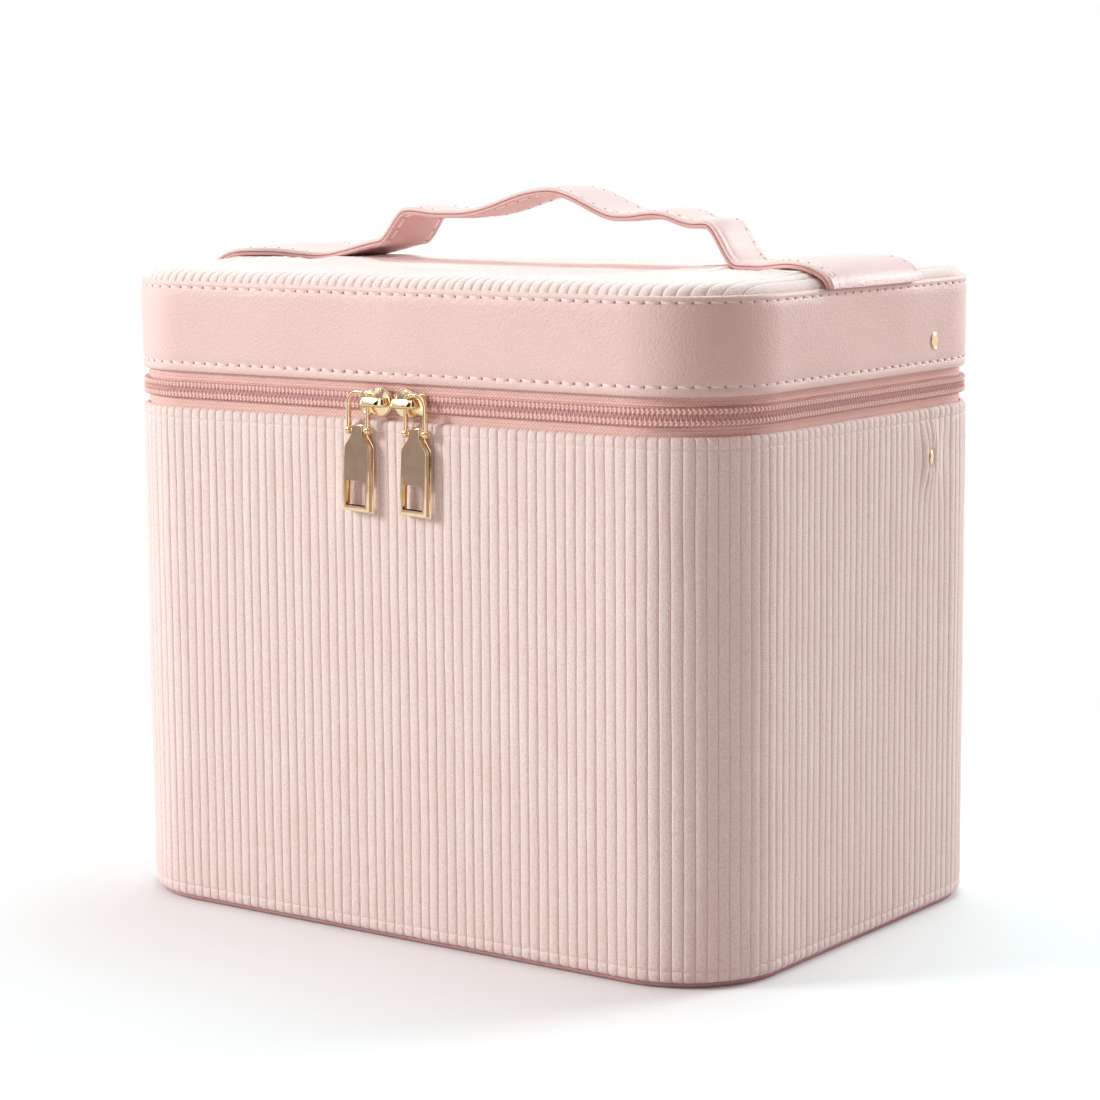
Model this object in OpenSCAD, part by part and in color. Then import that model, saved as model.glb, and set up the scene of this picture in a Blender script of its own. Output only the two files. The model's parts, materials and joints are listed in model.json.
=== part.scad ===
// Makeup train case: a padded box with rounded corners, a zipped lid on a rear fold, folding lid stays,
// a two-layer carrying strap, and two zip sliders with rings and pull tabs.
// Millimetres, +Z up. The origin is on the resting surface under the middle of the case; the front faces -Y.

/* [Case] */
// Width of the case, left to right
case_w = 250; // [220:1:320]
// Depth of the case, front to back
case_d = 178; // [160:1:230]
// Radius of the upright corners
corner_r = 35; // [28:1:45]
// Height of the body's top edge
body_top = 170; // [150:1:220]
// Height of the gap between body and lid that the zip fills
zip_gap = 12; // [11.5:0.5:16]
// Height of the lid's upright band
band_h = 30; // [28:1:45]
// Rise of the padded top above the band
dome_h = 4; // [3:0.5:5.5]
// Radius of the padded top's rounded edge
dome_edge_r = 6; // [6:0.5:9]
// Height of the rim that the case stands on
rim_h = 2; // [1.5:0.5:4]
// How far the rim is set in from the outside of the case
rim_inset = 1.5; // [0.5:0.5:3]

/* [Walls] */
// Thickness of the outer covering
cover_t = 1.5; // [1:0.1:1.7]
// Thickness of the board in walls, floor and lid
board_t = 2.2; // [2:0.1:3.2]
// Thickness of the lining
lining_t = 1; // [0.6:0.1:1.6]
// Thickness of the glue line between two layers
glue = 0.05; // [0.02:0.01:0.1]
// Thickness of the padded floor
floor_pad_t = 3; // [2:0.5:6]

/* [Zip] */
// Width of one half of the zip's coil, from tape to closing heads
coil_half_w = 2.4; // [2:0.1:2.6]
// Depth of the coil, from its outer face to the tape
coil_t = 1.8; // [1.6:0.1:2]
// Spacing of the coil's loops
coil_pitch = 1.6; // [1.3:0.1:2.4]
// Width of one loop of the coil
coil_loop_w = 0.95; // [0.7:0.05:1.1]
// Width of the slot that is left between the two halves of the coil
coil_slot = 1.2; // [1.2:0.1:1.8]
// Thickness of the zip's tape
tape_t = 0.8; // [0.6:0.1:0.9]
// Height of tape that is sewn in behind the covering
tape_seam_h = 6; // [4:0.5:9]
// Height of the strand that joins the coil's loops
coil_strand = 0.7; // [0.5:0.1:1]
// Distance from the start of a rear corner to the zip's end
zip_end_in = 2; // [0:1:20]

/* [Sliders] */
// Place of the point where the two sliders meet, from the middle of the front
meet_x = 3; // [-20:1:20]
// Gap between the noses of the two sliders
nose_gap = 0.6; // [0.4:0.1:3]
// Length of a slider
slider_len = 13; // [12.5:0.5:16]
// Height of a slider at its nose
slider_h = 9.6; // [9:0.1:10.4]
// Height of a slider at its tail
tail_h = 7.4; // [6.4:0.1:8.5]
// Thickness of a slider's front plate
plate_t = 1.6; // [1.4:0.1:2]
// Rise of the front plate's crown
crown = 0.8; // [0.4:0.1:1]
// Thickness of a slider's rear plate
rear_plate_t = 1.1; // [0.9:0.1:1.3]
// Running clearance between a slider and the zip
slider_gap = 0.35; // [0.3:0.05:0.5]
// Height of the bridge that holds the ring
bridge_h = 2.6; // [2:0.1:3]
// Thickness of the bridge
bridge_t = 1; // [0.8:0.1:1.4]

/* [Rings and pull tabs] */
// Diameter of a ring's wire
wire_d = 1.6; // [1.2:0.1:1.8]
// Spacing of a ring's two legs
ring_w = 7.8; // [7.6:0.1:9]
// Radius of the bends at a ring's top
ring_bend_r = 1.9; // [1.8:0.1:2]
// Clearance of a ring's top bar above the bridge
ring_lift = 0.5; // [0.45:0.05:0.8]
// Distance of the left ring's inner leg from the slider's nose
ring_in_left = 8.2; // [6.5:0.1:8.4]
// Distance of the right ring's inner leg from the slider's nose
ring_in_right = 6.6; // [6.2:0.1:8.4]
// Distance of the tab's pin below the middle of the zip
pin_drop = 9.2; // [8.6:0.1:12]
// Diameter of the tab's pin
pin_d = 1.2; // [1:0.1:1.3]
// Length of a pull tab below its pin
tab_len = 26.1; // [22:0.1:40]
// Width of a pull tab at its foot
tab_w = 10.8; // [10.4:0.1:12]
// Width of a pull tab at its shoulders
tab_shoulder_w = 10; // [9:0.1:10.4]
// Width of a pull tab's neck
neck_w = 4.4; // [3.4:0.1:5.2]
// Thickness of a pull tab
tab_t = 2.1; // [1.8:0.1:2.4]
// Bevel along a pull tab's edges
tab_bevel = 0.45; // [0.2:0.05:0.6]
// Width of a pull tab's window
window_w = 7.8; // [5:0.1:8]
// Height of a pull tab's window
window_h = 8; // [5:0.1:9]
// Height of the bar under a pull tab's window
window_sill = 1.8; // [1.6:0.1:4]
// Lean of the hanging pull tabs, in degrees
tab_lean = 2.2; // [0:0.1:3]

/* [Strap] */
// Width of the carrying strap
strap_w = 25; // [20:1:30]
// Width of the strap's flared ends
strap_end_w = 57; // [45:1:70]
// Thickness of one of the strap's two layers
strip_t = 1.55; // [1.2:0.05:1.6]
// Height of the strap's raised part above where it lies on the lid
strap_rise = 15.3; // [13:0.1:24]
// Height of the soft hump in the raised part
strap_hump = 8.1; // [0:0.1:12]
// Place of the hump, from the middle
hump_x = 8; // [-20:1:20]
// Length of the hump's long left side
hump_left_len = 40; // [24:1:44]
// Length of the hump's right side
hump_right_len = 28; // [20:1:40]
// Height of the soft shoulders at both ends of the raised part
shoulder_h = 0.9; // [0:0.1:2]
// Lift of the flared ends above the lid
end_lift = 1.8; // [1:0.1:3]
// Distance from the case's side to the foot of the raised part
strap_foot_in = 39; // [30:1:50]
// Length of the steep slopes up to the raised part
slope_len = 12; // [12:1:24]
// Length over which the left end rises before its steep slope
left_foot_len = 28; // [20:0.5:34]
// Distance from the case's side to the start of the flare
flare_in = 38; // [30:1:60]
// Distance from the case's side to the flare's full width
flare_end_in = 7; // [2:1:20]
// Length over which an end turns down the lid's side
turn_w = 15; // [10:1:18]

/* [Hinge and stays] */
// Gap between the fold strip and each end of the zip
fold_side_gap = 4; // [1:1:20]
// Thickness of the fold strip
fold_t = 1.2; // [1:0.1:1.6]
// Height of fold strip that is sewn to body and lid
fold_seam_h = 12; // [8:1:20]
// Clearance round the bead that the fold turns on
fold_gap = 0.45; // [0.45:0.05:0.8]
// Distance of the lid rivets behind the middle of the case
lid_rivet_y = 42; // [34:1:46]
// Height of the lid rivets above the middle of the zip
lid_rivet_up = 16; // [14:1:20]
// Distance of the body rivets behind the middle of the case
body_rivet_y = 39; // [34:1:46]
// Depth of the body rivets below the middle of the zip
body_rivet_down = 22.3; // [20:0.5:30]
// Diameter of a rivet's shank
rivet_d = 3; // [2.5:0.1:3.4]
// Diameter of a rivet's head
rivet_head_d = 6.2; // [5.6:0.1:7.5]
// Rise of a rivet's domed head
rivet_head_h = 1.2; // [0.8:0.1:1.8]
// Width of a stay's bars
stay_w = 8; // [7:0.5:10]
// Thickness of a stay's bars
stay_t = 1.2; // [1:0.1:1.5]
// Running clearance round a pin, on the radius
pin_gap = 0.05; // [0.03:0.01:0.08]
// Side clearance between moving pieces
side_gap = 0.35; // [0.3:0.05:0.45]

/* [Inside] */
// Height of the dividers
divider_h = 118; // [60:1:125]
// Thickness of a divider
divider_t = 5; // [3:0.5:8]
// Distance of the long divider behind the middle of the case
long_divider_y = 20; // [0:1:30]
// Distance of the two front dividers from the middle
front_divider_x = 40; // [30:1:60]
// Width of the hook-and-loop flap on a divider's end
flap_w = 24; // [15:1:30]
// Thickness of the flap
flap_t = 1.5; // [1:0.1:2]
// Gap between a divider and what it stands against
divider_gap = 0.3; // [0.2:0.1:0.5]
// Width of the mirror's frame
mirror_w = 196; // [150:1:200]
// Depth of the mirror's frame
mirror_d = 128; // [90:1:130]
// Width of the frame's border round the mirror
mirror_border = 6; // [4:1:12]
// Thickness of the mirror
mirror_t = 2; // [1.5:0.5:3]
// Thickness of the frame
mirror_frame_t = 3.2; // [3.1:0.1:5]
// Corner radius of the frame
mirror_r = 12; // [8:1:20]
// How deep the mirror lies behind the frame's face
mirror_recess = 0.5; // [0.3:0.1:1]

/* [Hidden] */
$fn = 96;

// A little more than the piece that a cut goes through
cut = 1;

// Insets of the layers from the outside of the case
board_in = cover_t + glue;
lining_in = board_in + board_t + glue;
wall_in = lining_in + lining_t;
tape_in = coil_t + glue;
rebate_in = tape_in + tape_t + glue;

// Heights
zip_z = body_top + zip_gap / 2;
lid_bottom = body_top + zip_gap;
band_top = lid_bottom + band_h;
dome_top = band_top + dome_h;
floor_top = rim_h + board_t + glue;
pad_top = floor_top + glue + floor_pad_t;
ceiling = band_top - board_t - glue - lining_t;
front_y = -case_d / 2;

// Half the opening at the back that the zip leaves, and the strip that fills it
zip_end_x = case_w / 2 - corner_r - zip_end_in;
fold_w = 2 * (zip_end_x - fold_side_gap);

// The fold lies on the middle of the strip's thickness
fold_y = case_d / 2 + glue + fold_t / 2;
bead_r = fold_t / 2;

// Corner radius of the outline once it is set in
function inset_r(inset) = corner_r - inset;

// 0 to 1 along a smooth step
function clamp01(u) = min(1, max(0, u));
function smooth(u) = let (c = clamp01(u)) c * c * (3 - 2 * c);

// ---- Plan and layers ----

// The case's outline seen from above, set in by inset
module plan(inset) {
    w = case_w - 2 * inset;
    d = case_d - 2 * inset;
    r = inset_r(inset);
    square([w, d - 2 * r], center = true);
    square([w - 2 * r, d], center = true);
    for (x = [-1, 1], y = [-1, 1])
        translate([x * (w / 2 - r), y * (d / 2 - r)]) circle(r);
}

module slab(inset, z0, z1) {
    translate([0, 0, z0]) linear_extrude(z1 - z0) plan(inset);
}

// A wall that follows the outline, from one inset to another
module wall(outer_in, inner_in, z0, z1) {
    translate([0, 0, z0]) linear_extrude(z1 - z0) difference() {
        plan(outer_in);
        plan(inner_in);
    }
}

// The same wall, open across the back between the zip's ends
module zip_wall(outer_in, inner_in, z0, z1) {
    difference() {
        wall(outer_in, inner_in, z0, z1);
        translate([-zip_end_x, 0, z0 - cut]) cube([2 * zip_end_x, case_d, z1 - z0 + 2 * cut]);
    }
}

// Half of a slab's edge: flat on top, with a rounded outer corner
module edge_profile(r, h, round_r) {
    intersection() {
        union() {
            square([r - round_r, h]);
            translate([r - round_r, h - round_r]) circle(round_r);
            if (h > round_r) square([r, h - round_r]);
        }
        square([r, h]);
    }
}

// A slab with the case's outline and a rounded upper edge
module rounded_slab(inset, h, round_r) {
    w = case_w - 2 * inset;
    d = case_d - 2 * inset;
    r = inset_r(inset);
    translate([r - w / 2, r - d / 2, 0]) cube([w - 2 * r, d - 2 * r, h]);
    for (turn = [0:3]) {
        reach = turn % 2 == 0 ? w / 2 - r : d / 2 - r;
        run = turn % 2 == 0 ? d - 2 * r : w - 2 * r;
        rotate(90 * turn) translate([reach, run / 2, 0]) {
            rotate([90, 0, 0]) linear_extrude(run) edge_profile(r, h, round_r);
            rotate_extrude(angle = 90) edge_profile(r, h, round_r);
        }
    }
}

// Holes for the rivets' shanks through both side walls
module rivet_hole(y, z) {
    translate([0, y, z]) rotate([0, 90, 0])
        cylinder(d = rivet_d + 2 * pin_gap, h = case_w + 2 * cut, center = true);
}
module lid_rivet_holes() rivet_hole(lid_rivet_y, zip_z + lid_rivet_up);
module body_rivet_holes() rivet_hole(body_rivet_y, zip_z - body_rivet_down);

// ---- Body ----

module base_cover() {
    edge_share = 0.6;
    color("#c99a98") translate([0, 0, rim_h]) mirror([0, 0, 1])
        rounded_slab(rim_inset, rim_h, rim_h * edge_share);
}

module base_board() {
    color("#b49a7c") slab(lining_in, rim_h, rim_h + board_t);
}

module body_board() {
    color("#b49a7c") difference() {
        wall(board_in, board_in + board_t, rim_h, body_top);
        zip_wall(0, rebate_in, body_top - tape_seam_h - glue, body_top + cut);
        body_rivet_holes();
    }
}

module body_cover() {
    color("#eccfc9") difference() {
        wall(0, cover_t, rim_h, body_top);
        body_rivet_holes();
    }
}

// The lining hides the board's upper edge with a turned lip
module body_lining() {
    color("#f0d8d0") difference() {
        union() {
            wall(lining_in, wall_in, floor_top, body_top + glue + lining_t);
            wall(rebate_in + glue, lining_in + glue, body_top + glue, body_top + glue + lining_t);
        }
        body_rivet_holes();
    }
}

module floor_pad() {
    color("#f0d8d0") slab(wall_in + glue, floor_top, pad_top);
}

// ---- Dividers ----

// Share of a divider's height that its flaps have
flap_share = 0.9;

// An upright padded panel along Y, with a hook-and-loop flap at each end
module divider(y0, y1) {
    translate([-divider_t / 2, y0, pad_top + glue]) cube([divider_t, y1 - y0, divider_h]);
    for (y = [y0, y1 - flap_t])
        translate([-flap_w / 2, y, pad_top + glue])
            cube([flap_w, flap_t, divider_h * flap_share]);
}

module divider_long() {
    reach = case_w / 2 - wall_in - divider_gap;
    color("#eac6c0") translate([0, long_divider_y, 0]) rotate(-90) divider(-reach, reach);
}

module divider_front(side) {
    color("#eac6c0") translate([side * front_divider_x, 0, 0])
        divider(front_y + wall_in + divider_gap, long_divider_y - divider_t / 2 - divider_gap);
}

module divider_rear() {
    color("#eac6c0")
        divider(long_divider_y + divider_t / 2 + divider_gap, -front_y - wall_in - divider_gap);
}

// ---- Zip ----

// Lengths of the zip's half path: front, front corner, side, rear corner, back
zip_r = corner_r - coil_t / 2;
zip_front = case_w / 2 - corner_r;
zip_arc = zip_r * PI / 2;
zip_side = case_d - 2 * corner_r;
zip_back = zip_front - zip_end_x;
zip_half_len = zip_front + zip_arc + zip_side + zip_arc + zip_back;
zip_loops = floor((zip_half_len - coil_pitch) / coil_pitch);

// Places what follows at distance s along the right half of the path, turned outwards
module on_zip(s) {
    s1 = s - zip_front;
    s2 = s1 - zip_arc;
    s3 = s2 - zip_side;
    s4 = s3 - zip_arc;
    corner_x = case_w / 2 - corner_r;
    corner_y = case_d / 2 - corner_r;
    if (s1 <= 0) translate([s, -corner_y]) rotate(-90) translate([corner_r, 0]) children();
    else if (s2 <= 0)
        translate([corner_x, -corner_y]) rotate(90 * s1 / zip_arc - 90) translate([corner_r, 0]) children();
    else if (s3 <= 0) translate([corner_x, s2 - corner_y]) translate([corner_r, 0]) children();
    else if (s4 <= 0)
        translate([corner_x, corner_y]) rotate(90 * s3 / zip_arc) translate([corner_r, 0]) children();
    else translate([corner_x - s4, corner_y]) rotate(90) translate([corner_r, 0]) children();
}

// One half of the coil: a back strand with a comb of loops that stand up from it
module zip_coil(phase) {
    zip_wall(0, coil_t, 0, coil_strand);
    translate([0, 0, coil_strand]) linear_extrude(coil_half_w - coil_strand)
        for (turn = [0, 1]) mirror([turn, 0]) for (i = [0:zip_loops - 1])
            on_zip((i + 0.5 + phase) * coil_pitch)
                translate([-coil_t, -coil_loop_w / 2]) square([coil_t, coil_loop_w]);
}

module body_zip_coil() {
    color("#b98496") translate([0, 0, zip_z - coil_slot / 2 - coil_half_w]) zip_coil(0);
}

module lid_zip_coil() {
    color("#b98496") translate([0, 0, zip_z + coil_slot / 2 + coil_half_w]) mirror([0, 0, 1])
        zip_coil(0.25);
}

module body_zip_tape() {
    color("#d9a7a2")
        zip_wall(tape_in, tape_in + tape_t, body_top - tape_seam_h, zip_z - coil_slot / 2);
}

module lid_zip_tape() {
    color("#d9a7a2")
        zip_wall(tape_in, tape_in + tape_t, zip_z + coil_slot / 2, lid_bottom + tape_seam_h);
}

// ---- Lid ----

module lid_board() {
    color("#b49a7c") difference() {
        wall(board_in, board_in + board_t, lid_bottom, band_top);
        zip_wall(0, rebate_in, lid_bottom - cut, lid_bottom + tape_seam_h + glue);
        lid_rivet_holes();
    }
}

module lid_panel() {
    color("#b49a7c") slab(lining_in, band_top - board_t, band_top);
}

module lid_band() {
    color("#e8c3bd") difference() {
        wall(0, cover_t, lid_bottom, band_top);
        lid_rivet_holes();
    }
}

module lid_top_pad() {
    color("#f3ecdf") slab(dome_edge_r, band_top, dome_top - cover_t - glue);
}

module lid_top_cover() {
    color("#eed3cd") difference() {
        translate([0, 0, band_top]) rounded_slab(0, dome_h, dome_edge_r);
        slab(dome_edge_r - glue, band_top - cut, dome_top - cover_t);
    }
}

// Walls, ceiling and turned lip in one piece
module lid_lining() {
    lip_z = lid_bottom - glue - lining_t;
    color("#f0d8d0") difference() {
        union() {
            slab(lining_in, lip_z, band_top - board_t - glue);
            wall(rebate_in + glue, lining_in + glue, lip_z, lip_z + lining_t);
        }
        slab(wall_in, lip_z - cut, ceiling);
        lid_rivet_holes();
    }
}

module mirror_plate(w, d, r, z0, z1) {
    translate([0, 0, z0]) linear_extrude(z1 - z0) {
        square([w, d - 2 * r], center = true);
        square([w - 2 * r, d], center = true);
        for (x = [-1, 1], y = [-1, 1])
            translate([x * (w / 2 - r), y * (d / 2 - r)]) circle(r);
    }
}

mirror_bottom = ceiling - glue - mirror_frame_t;
mirror_face = mirror_bottom + mirror_recess;

module mirror_glass() {
    w = mirror_w - 2 * mirror_border - 2 * glue;
    d = mirror_d - 2 * mirror_border - 2 * glue;
    color("#cfd6da")
        mirror_plate(w, d, mirror_r - mirror_border, mirror_face, mirror_face + mirror_t);
}

module mirror_frame() {
    w = mirror_w - 2 * mirror_border;
    d = mirror_d - 2 * mirror_border;
    color("#eac6c0") difference() {
        mirror_plate(mirror_w, mirror_d, mirror_r, mirror_bottom, ceiling - glue);
        mirror_plate(w, d, mirror_r - mirror_border, mirror_bottom - cut,
            mirror_face + mirror_t + glue);
    }
}

// ---- Strap ----

strap_t = 2 * strip_t + glue;
strap_rest = dome_top + glue + strap_t / 2;
// The strap lies on the lid from here outwards, and flares beyond
rest_x = case_w / 2 - strap_foot_in;
flare_x = case_w / 2 - flare_in;
flare_end_x = case_w / 2 - flare_end_in;
// The ends turn down over the lid's edge on a quarter of an ellipse
end_x = case_w / 2 + glue + strap_t / 2;
turn_x = end_x - turn_w;
end_foot = band_top + glue;
// Each end rises partly on a long easy slope and then on a steep one
left_easy_share = 0.36;
right_easy_share = 0.14;
left_easy_x = -rest_x - 7;
left_steep_x = left_easy_x + left_foot_len;
right_steep_x = rest_x - 4;
right_easy_x = right_steep_x - slope_len - 4;
easy_len = 12;
shoulder_in = 36;
shoulder_len = 11;
lift_start = 4;
lift_len = 18;

function left_slope(x) =
    left_easy_share * smooth((x - left_easy_x) / (left_foot_len + 4))
    + (1 - left_easy_share) * smooth((x - left_steep_x) / slope_len);
function right_slope(x) =
    right_easy_share * smooth((right_easy_x - x) / easy_len)
    + (1 - right_easy_share) * smooth((right_steep_x - x) / slope_len);
function hump(x) =
    smooth(1 - abs(x - hump_x) / (x < hump_x ? hump_left_len : hump_right_len));

// Height of the strap's middle line
function strap_z(x) =
    strap_rest
    + strap_rise * left_slope(x) * right_slope(x)
    + strap_hump * hump(x)
    + shoulder_h * smooth(1 - abs(abs(x) - rest_x + shoulder_in) / shoulder_len)
    + end_lift * smooth((abs(x) - rest_x - lift_start) / lift_len);

turn_h = strap_z(turn_x) - end_foot;
strap_step = 1.5;
strap_steps = round(2 * turn_x / strap_step);
strap_line = concat(
    [for (a = [0:10:80]) [-turn_x - turn_w * cos(a), end_foot + turn_h * sin(a)]],
    [for (i = [0:strap_steps])
        let (x = turn_x * (2 * i / strap_steps - 1)) [x, strap_z(x)]],
    [for (a = [80:-10:0]) [turn_x + turn_w * cos(a), end_foot + turn_h * sin(a)]]
);

// Direction along the line at point i, and the line moved sideways by off
function strap_dir(i) =
    i == 0 ? [0, 1] :
    i == len(strap_line) - 1 ? [0, -1] :
    let (d = strap_line[i + 1] - strap_line[i - 1]) d / norm(d);
function strap_side(off) =
    [for (i = [0:len(strap_line) - 1])
        let (d = strap_dir(i)) strap_line[i] + off * [-d[1], d[0]]];

// Half width of the strap, seen from above
function strap_half(x) =
    strap_w / 2
    + (strap_end_w - strap_w) / 2 * smooth((abs(x) - flare_x) / (flare_end_x - flare_x));

module strap_plan() {
    far = end_x + strap_t;
    xs = concat(
        [-far], [for (i = [12:-1:0]) -flare_x - i * (flare_end_x - flare_x) / 12],
        [for (i = [0:12]) flare_x + i * (flare_end_x - flare_x) / 12], [far]
    );
    polygon(concat(
        [for (x = xs) [x, strap_half(x)]],
        [for (i = [len(xs) - 1:-1:0]) [xs[i], -strap_half(xs[i])]]
    ));
}

module strap_strip(off0, off1) {
    lower = strap_side(off0);
    upper = strap_side(off1);
    intersection() {
        translate([0, strap_end_w / 2, 0]) rotate([90, 0, 0]) linear_extrude(strap_end_w)
            polygon(concat(lower, [for (i = [len(upper) - 1:-1:0]) upper[i]]));
        translate([0, 0, body_top]) linear_extrude(case_w) strap_plan();
    }
}

module strap_top_strip() {
    color("#eccac4") strap_strip(glue / 2, strap_t / 2);
}

module strap_under_strip() {
    color("#e2b9b3") strap_strip(-strap_t / 2, -glue / 2);
}

// ---- Fold strip ----

// The half strips end in a bead on the fold line and a hollow that it turns in
module fold_strip_lower() {
    color("#e0b5b0") difference() {
        translate([-fold_w / 2, fold_y - fold_t / 2, body_top - fold_seam_h])
            cube([fold_w, fold_t, zip_z - body_top + fold_seam_h - fold_gap]);
        translate([0, fold_y, zip_z]) rotate([0, 90, 0])
            cylinder(r = bead_r + fold_gap, h = fold_w + 2 * cut, center = true);
    }
}

module fold_strip_upper() {
    color("#e0b5b0") {
        translate([-fold_w / 2, fold_y - fold_t / 2, zip_z])
            cube([fold_w, fold_t, lid_bottom + fold_seam_h - zip_z]);
        translate([0, fold_y, zip_z]) rotate([0, 90, 0])
            cylinder(r = bead_r, h = fold_w, center = true);
    }
}

// ---- Rivets and stays ----

module on_side(side) {
    if (side < 0) mirror([1, 0, 0]) children();
    else children();
}

// Turns a drawing with its X along +Y and its Y along +Z into the plane of the right side wall
module in_side_plane(x) {
    translate([x, 0, 0]) rotate([90, 0, 90]) children();
}

stay_outer = case_w / 2 - wall_in - side_gap;
stay_mid = stay_outer - stay_t;
stay_inner = stay_mid - side_gap;
stay_end = stay_inner - stay_t;
rivet_tail_t = 1;
rivet_tail_d = rivet_d + 3;
lid_rivet_z = zip_z + lid_rivet_up;
body_rivet_z = zip_z - body_rivet_down;
fold_to_lid = [lid_rivet_y - fold_y, lid_rivet_up];
fold_to_body = [body_rivet_y - fold_y, -body_rivet_down];

// A shank along X with a domed outer head and a flat inner head
module rivet(y, z, inner_x, spacer_x) {
    shank_end = inner_x - side_gap - rivet_tail_t;
    in_side_plane(shank_end) translate([y, z, 0]) {
        cylinder(d = rivet_d, h = case_w / 2 + glue - shank_end);
        cylinder(d = rivet_tail_d, h = rivet_tail_t);
        if (spacer_x > inner_x)
            translate([0, 0, spacer_x - shank_end])
                cylinder(d = rivet_tail_d, h = stay_outer + side_gap / 2 - spacer_x);
        translate([0, 0, case_w / 2 + glue - shank_end]) rivet_head();
    }
}

module rivet_head() {
    r = rivet_head_d / 2;
    ball_r = (r * r + rivet_head_h * rivet_head_h) / (2 * rivet_head_h);
    rotate_extrude() intersection() {
        translate([0, rivet_head_h - ball_r]) circle(ball_r);
        square([r, rivet_head_h]);
    }
}

module body_rivet(side) {
    color("#e3bf86") on_side(side) rivet(body_rivet_y, body_rivet_z, stay_mid, 0);
}

module lid_rivet(side) {
    color("#e3bf86") on_side(side) rivet(lid_rivet_y, lid_rivet_z, stay_end, stay_inner + side_gap);
}

// A flat bar with round ends and a bore in each, along a vector
module stay_bar(v) {
    rotate(atan2(v[1], v[0])) linear_extrude(stay_t) difference() {
        union() {
            translate([0, -stay_w / 2]) square([norm(v), stay_w]);
            for (x = [0, norm(v)]) translate([x, 0]) circle(d = stay_w);
        }
        for (x = [0, norm(v)]) translate([x, 0]) circle(d = rivet_d + 2 * pin_gap);
    }
}

// The bars, the lid and the body make a parallelogram, so the knuckle closes at every lid angle
module stay_lower(side) {
    color("#d9b47a") on_side(side) in_side_plane(stay_mid)
        translate([body_rivet_y, body_rivet_z, 0]) stay_bar(fold_to_lid);
}

module stay_upper(side) {
    color("#d9b47a") on_side(side) in_side_plane(stay_end)
        translate([lid_rivet_y, lid_rivet_z, 0]) stay_bar(fold_to_body);
}

module stay_pin(side) {
    knuckle = fold_to_lid + [body_rivet_y, body_rivet_z];
    color("#e3bf86") on_side(side) in_side_plane(stay_end - side_gap - rivet_tail_t)
        translate([knuckle[0], knuckle[1], 0]) {
            cylinder(d = rivet_d, h = stay_outer - stay_end + side_gap + rivet_tail_t);
            cylinder(d = rivet_tail_d, h = rivet_tail_t);
        }
}

// ---- Sliders, rings and pull tabs ----
// Drawn for the left slider: nose at the origin, tail towards -X, outwards is -Y, Z from the zip's middle

bridge_gap = wire_d + 2 * side_gap;
plate_face = slider_gap + plate_t;
bridge_face = plate_face + bridge_gap + bridge_t;
ring_y = plate_face + bridge_gap / 2;
// The bridge starts behind the nose and ends before the tail
bridge_start = 0.4;
bridge_end = slider_len - 1.5;
foot_w = 1.6;
bridge_len = bridge_end - bridge_start;

module at_slider(side) {
    translate([meet_x + side * nose_gap / 2, front_y, zip_z])
        mirror([side > 0 ? 1 : 0, 0, 0]) children();
}

// Outline of a slider's plates: round nose, narrower tail with cut corners
module slider_outline(grow) {
    nose_r = slider_h / 2;
    nick = 1;
    translate([-nose_r, 0]) circle(nose_r + grow);
    for (up = [0, 1]) mirror([0, up]) polygon([
        [-nose_r, 0], [-nose_r, nose_r + grow], [nick - slider_len, tail_h / 2 + grow],
        [-slider_len, tail_h / 2 - nick + grow], [-slider_len, 0]
    ]);
}

module slider_plate(y0, t, grow) {
    translate([0, -y0, 0]) rotate([90, 0, 0]) linear_extrude(t) slider_outline(grow);
}

// The front plate's crown is part of a round bar along X
module front_plate() {
    crown_r = (slider_h * slider_h / 4 + crown * crown) / (2 * crown);
    intersection() {
        slider_plate(slider_gap, plate_t, 0);
        translate([cut, crown_r - plate_face, 0]) rotate([0, -90, 0])
            cylinder(r = crown_r, h = slider_len + 2 * cut);
    }
}

// An arch along the slider that the ring's inner leg runs under, with the lock pin's hole
module bridge() {
    round_r = 1.8;
    lock_w = 1.3;
    lock_x = 4.5;
    difference() {
        translate([0, 0, -bridge_h / 2]) linear_extrude(bridge_h) difference() {
            union() {
                translate([-bridge_end, -bridge_face + round_r])
                    square([bridge_len, bridge_face - round_r - slider_gap - crown]);
                translate([-bridge_end + round_r, -bridge_face])
                    square([bridge_len - 2 * round_r, round_r]);
                for (x = [-bridge_end + round_r, -bridge_start - round_r])
                    translate([x, -bridge_face + round_r]) circle(round_r);
            }
            translate([-bridge_end + foot_w, -plate_face - bridge_gap])
                square([bridge_len - 2 * foot_w, bridge_gap + plate_t / 2]);
        }
        translate([-lock_x - lock_w / 2, -bridge_face - cut, -lock_w / 2])
            cube([lock_w, bridge_t + 2 * cut, lock_w]);
    }
}

module slider_body() {
    rear_face = coil_t + tape_t + 2 * glue + slider_gap;
    rear_inset = 0.5;
    post_start = 1;
    post_len = 2.2;
    post_h = coil_slot - 0.5;
    flange_t = 0.45;
    flange_start = 2;
    flange_d = slider_gap + plate_t / 2 + coil_t - 0.4;
    front_plate();
    bridge();
    translate([0, rear_face + rear_plate_t, 0]) slider_plate(0, rear_plate_t, -rear_inset);
    // The post between the coil's halves joins the plates
    translate([-post_start - post_len, -slider_gap - plate_t / 2, -post_h / 2])
        cube([post_len, rear_face + slider_gap + plate_t, post_h]);
    // The lower edge turns in over the tape, so the slider stays on the body's half of the zip
    translate([flange_start - slider_len, -slider_gap - plate_t / 2, 0.05 - flange_t - tail_h / 2])
        cube([slider_len - slider_h / 2 - flange_start, flange_d, flange_t]);
}

module slider(side) {
    color("#e3bf86") at_slider(side) slider_body();
}

// Wall of a ring's eyes round the pin, and how far they stand proud of the wire
eye_wall = 0.9;
eye_proud = 0.1;

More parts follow.
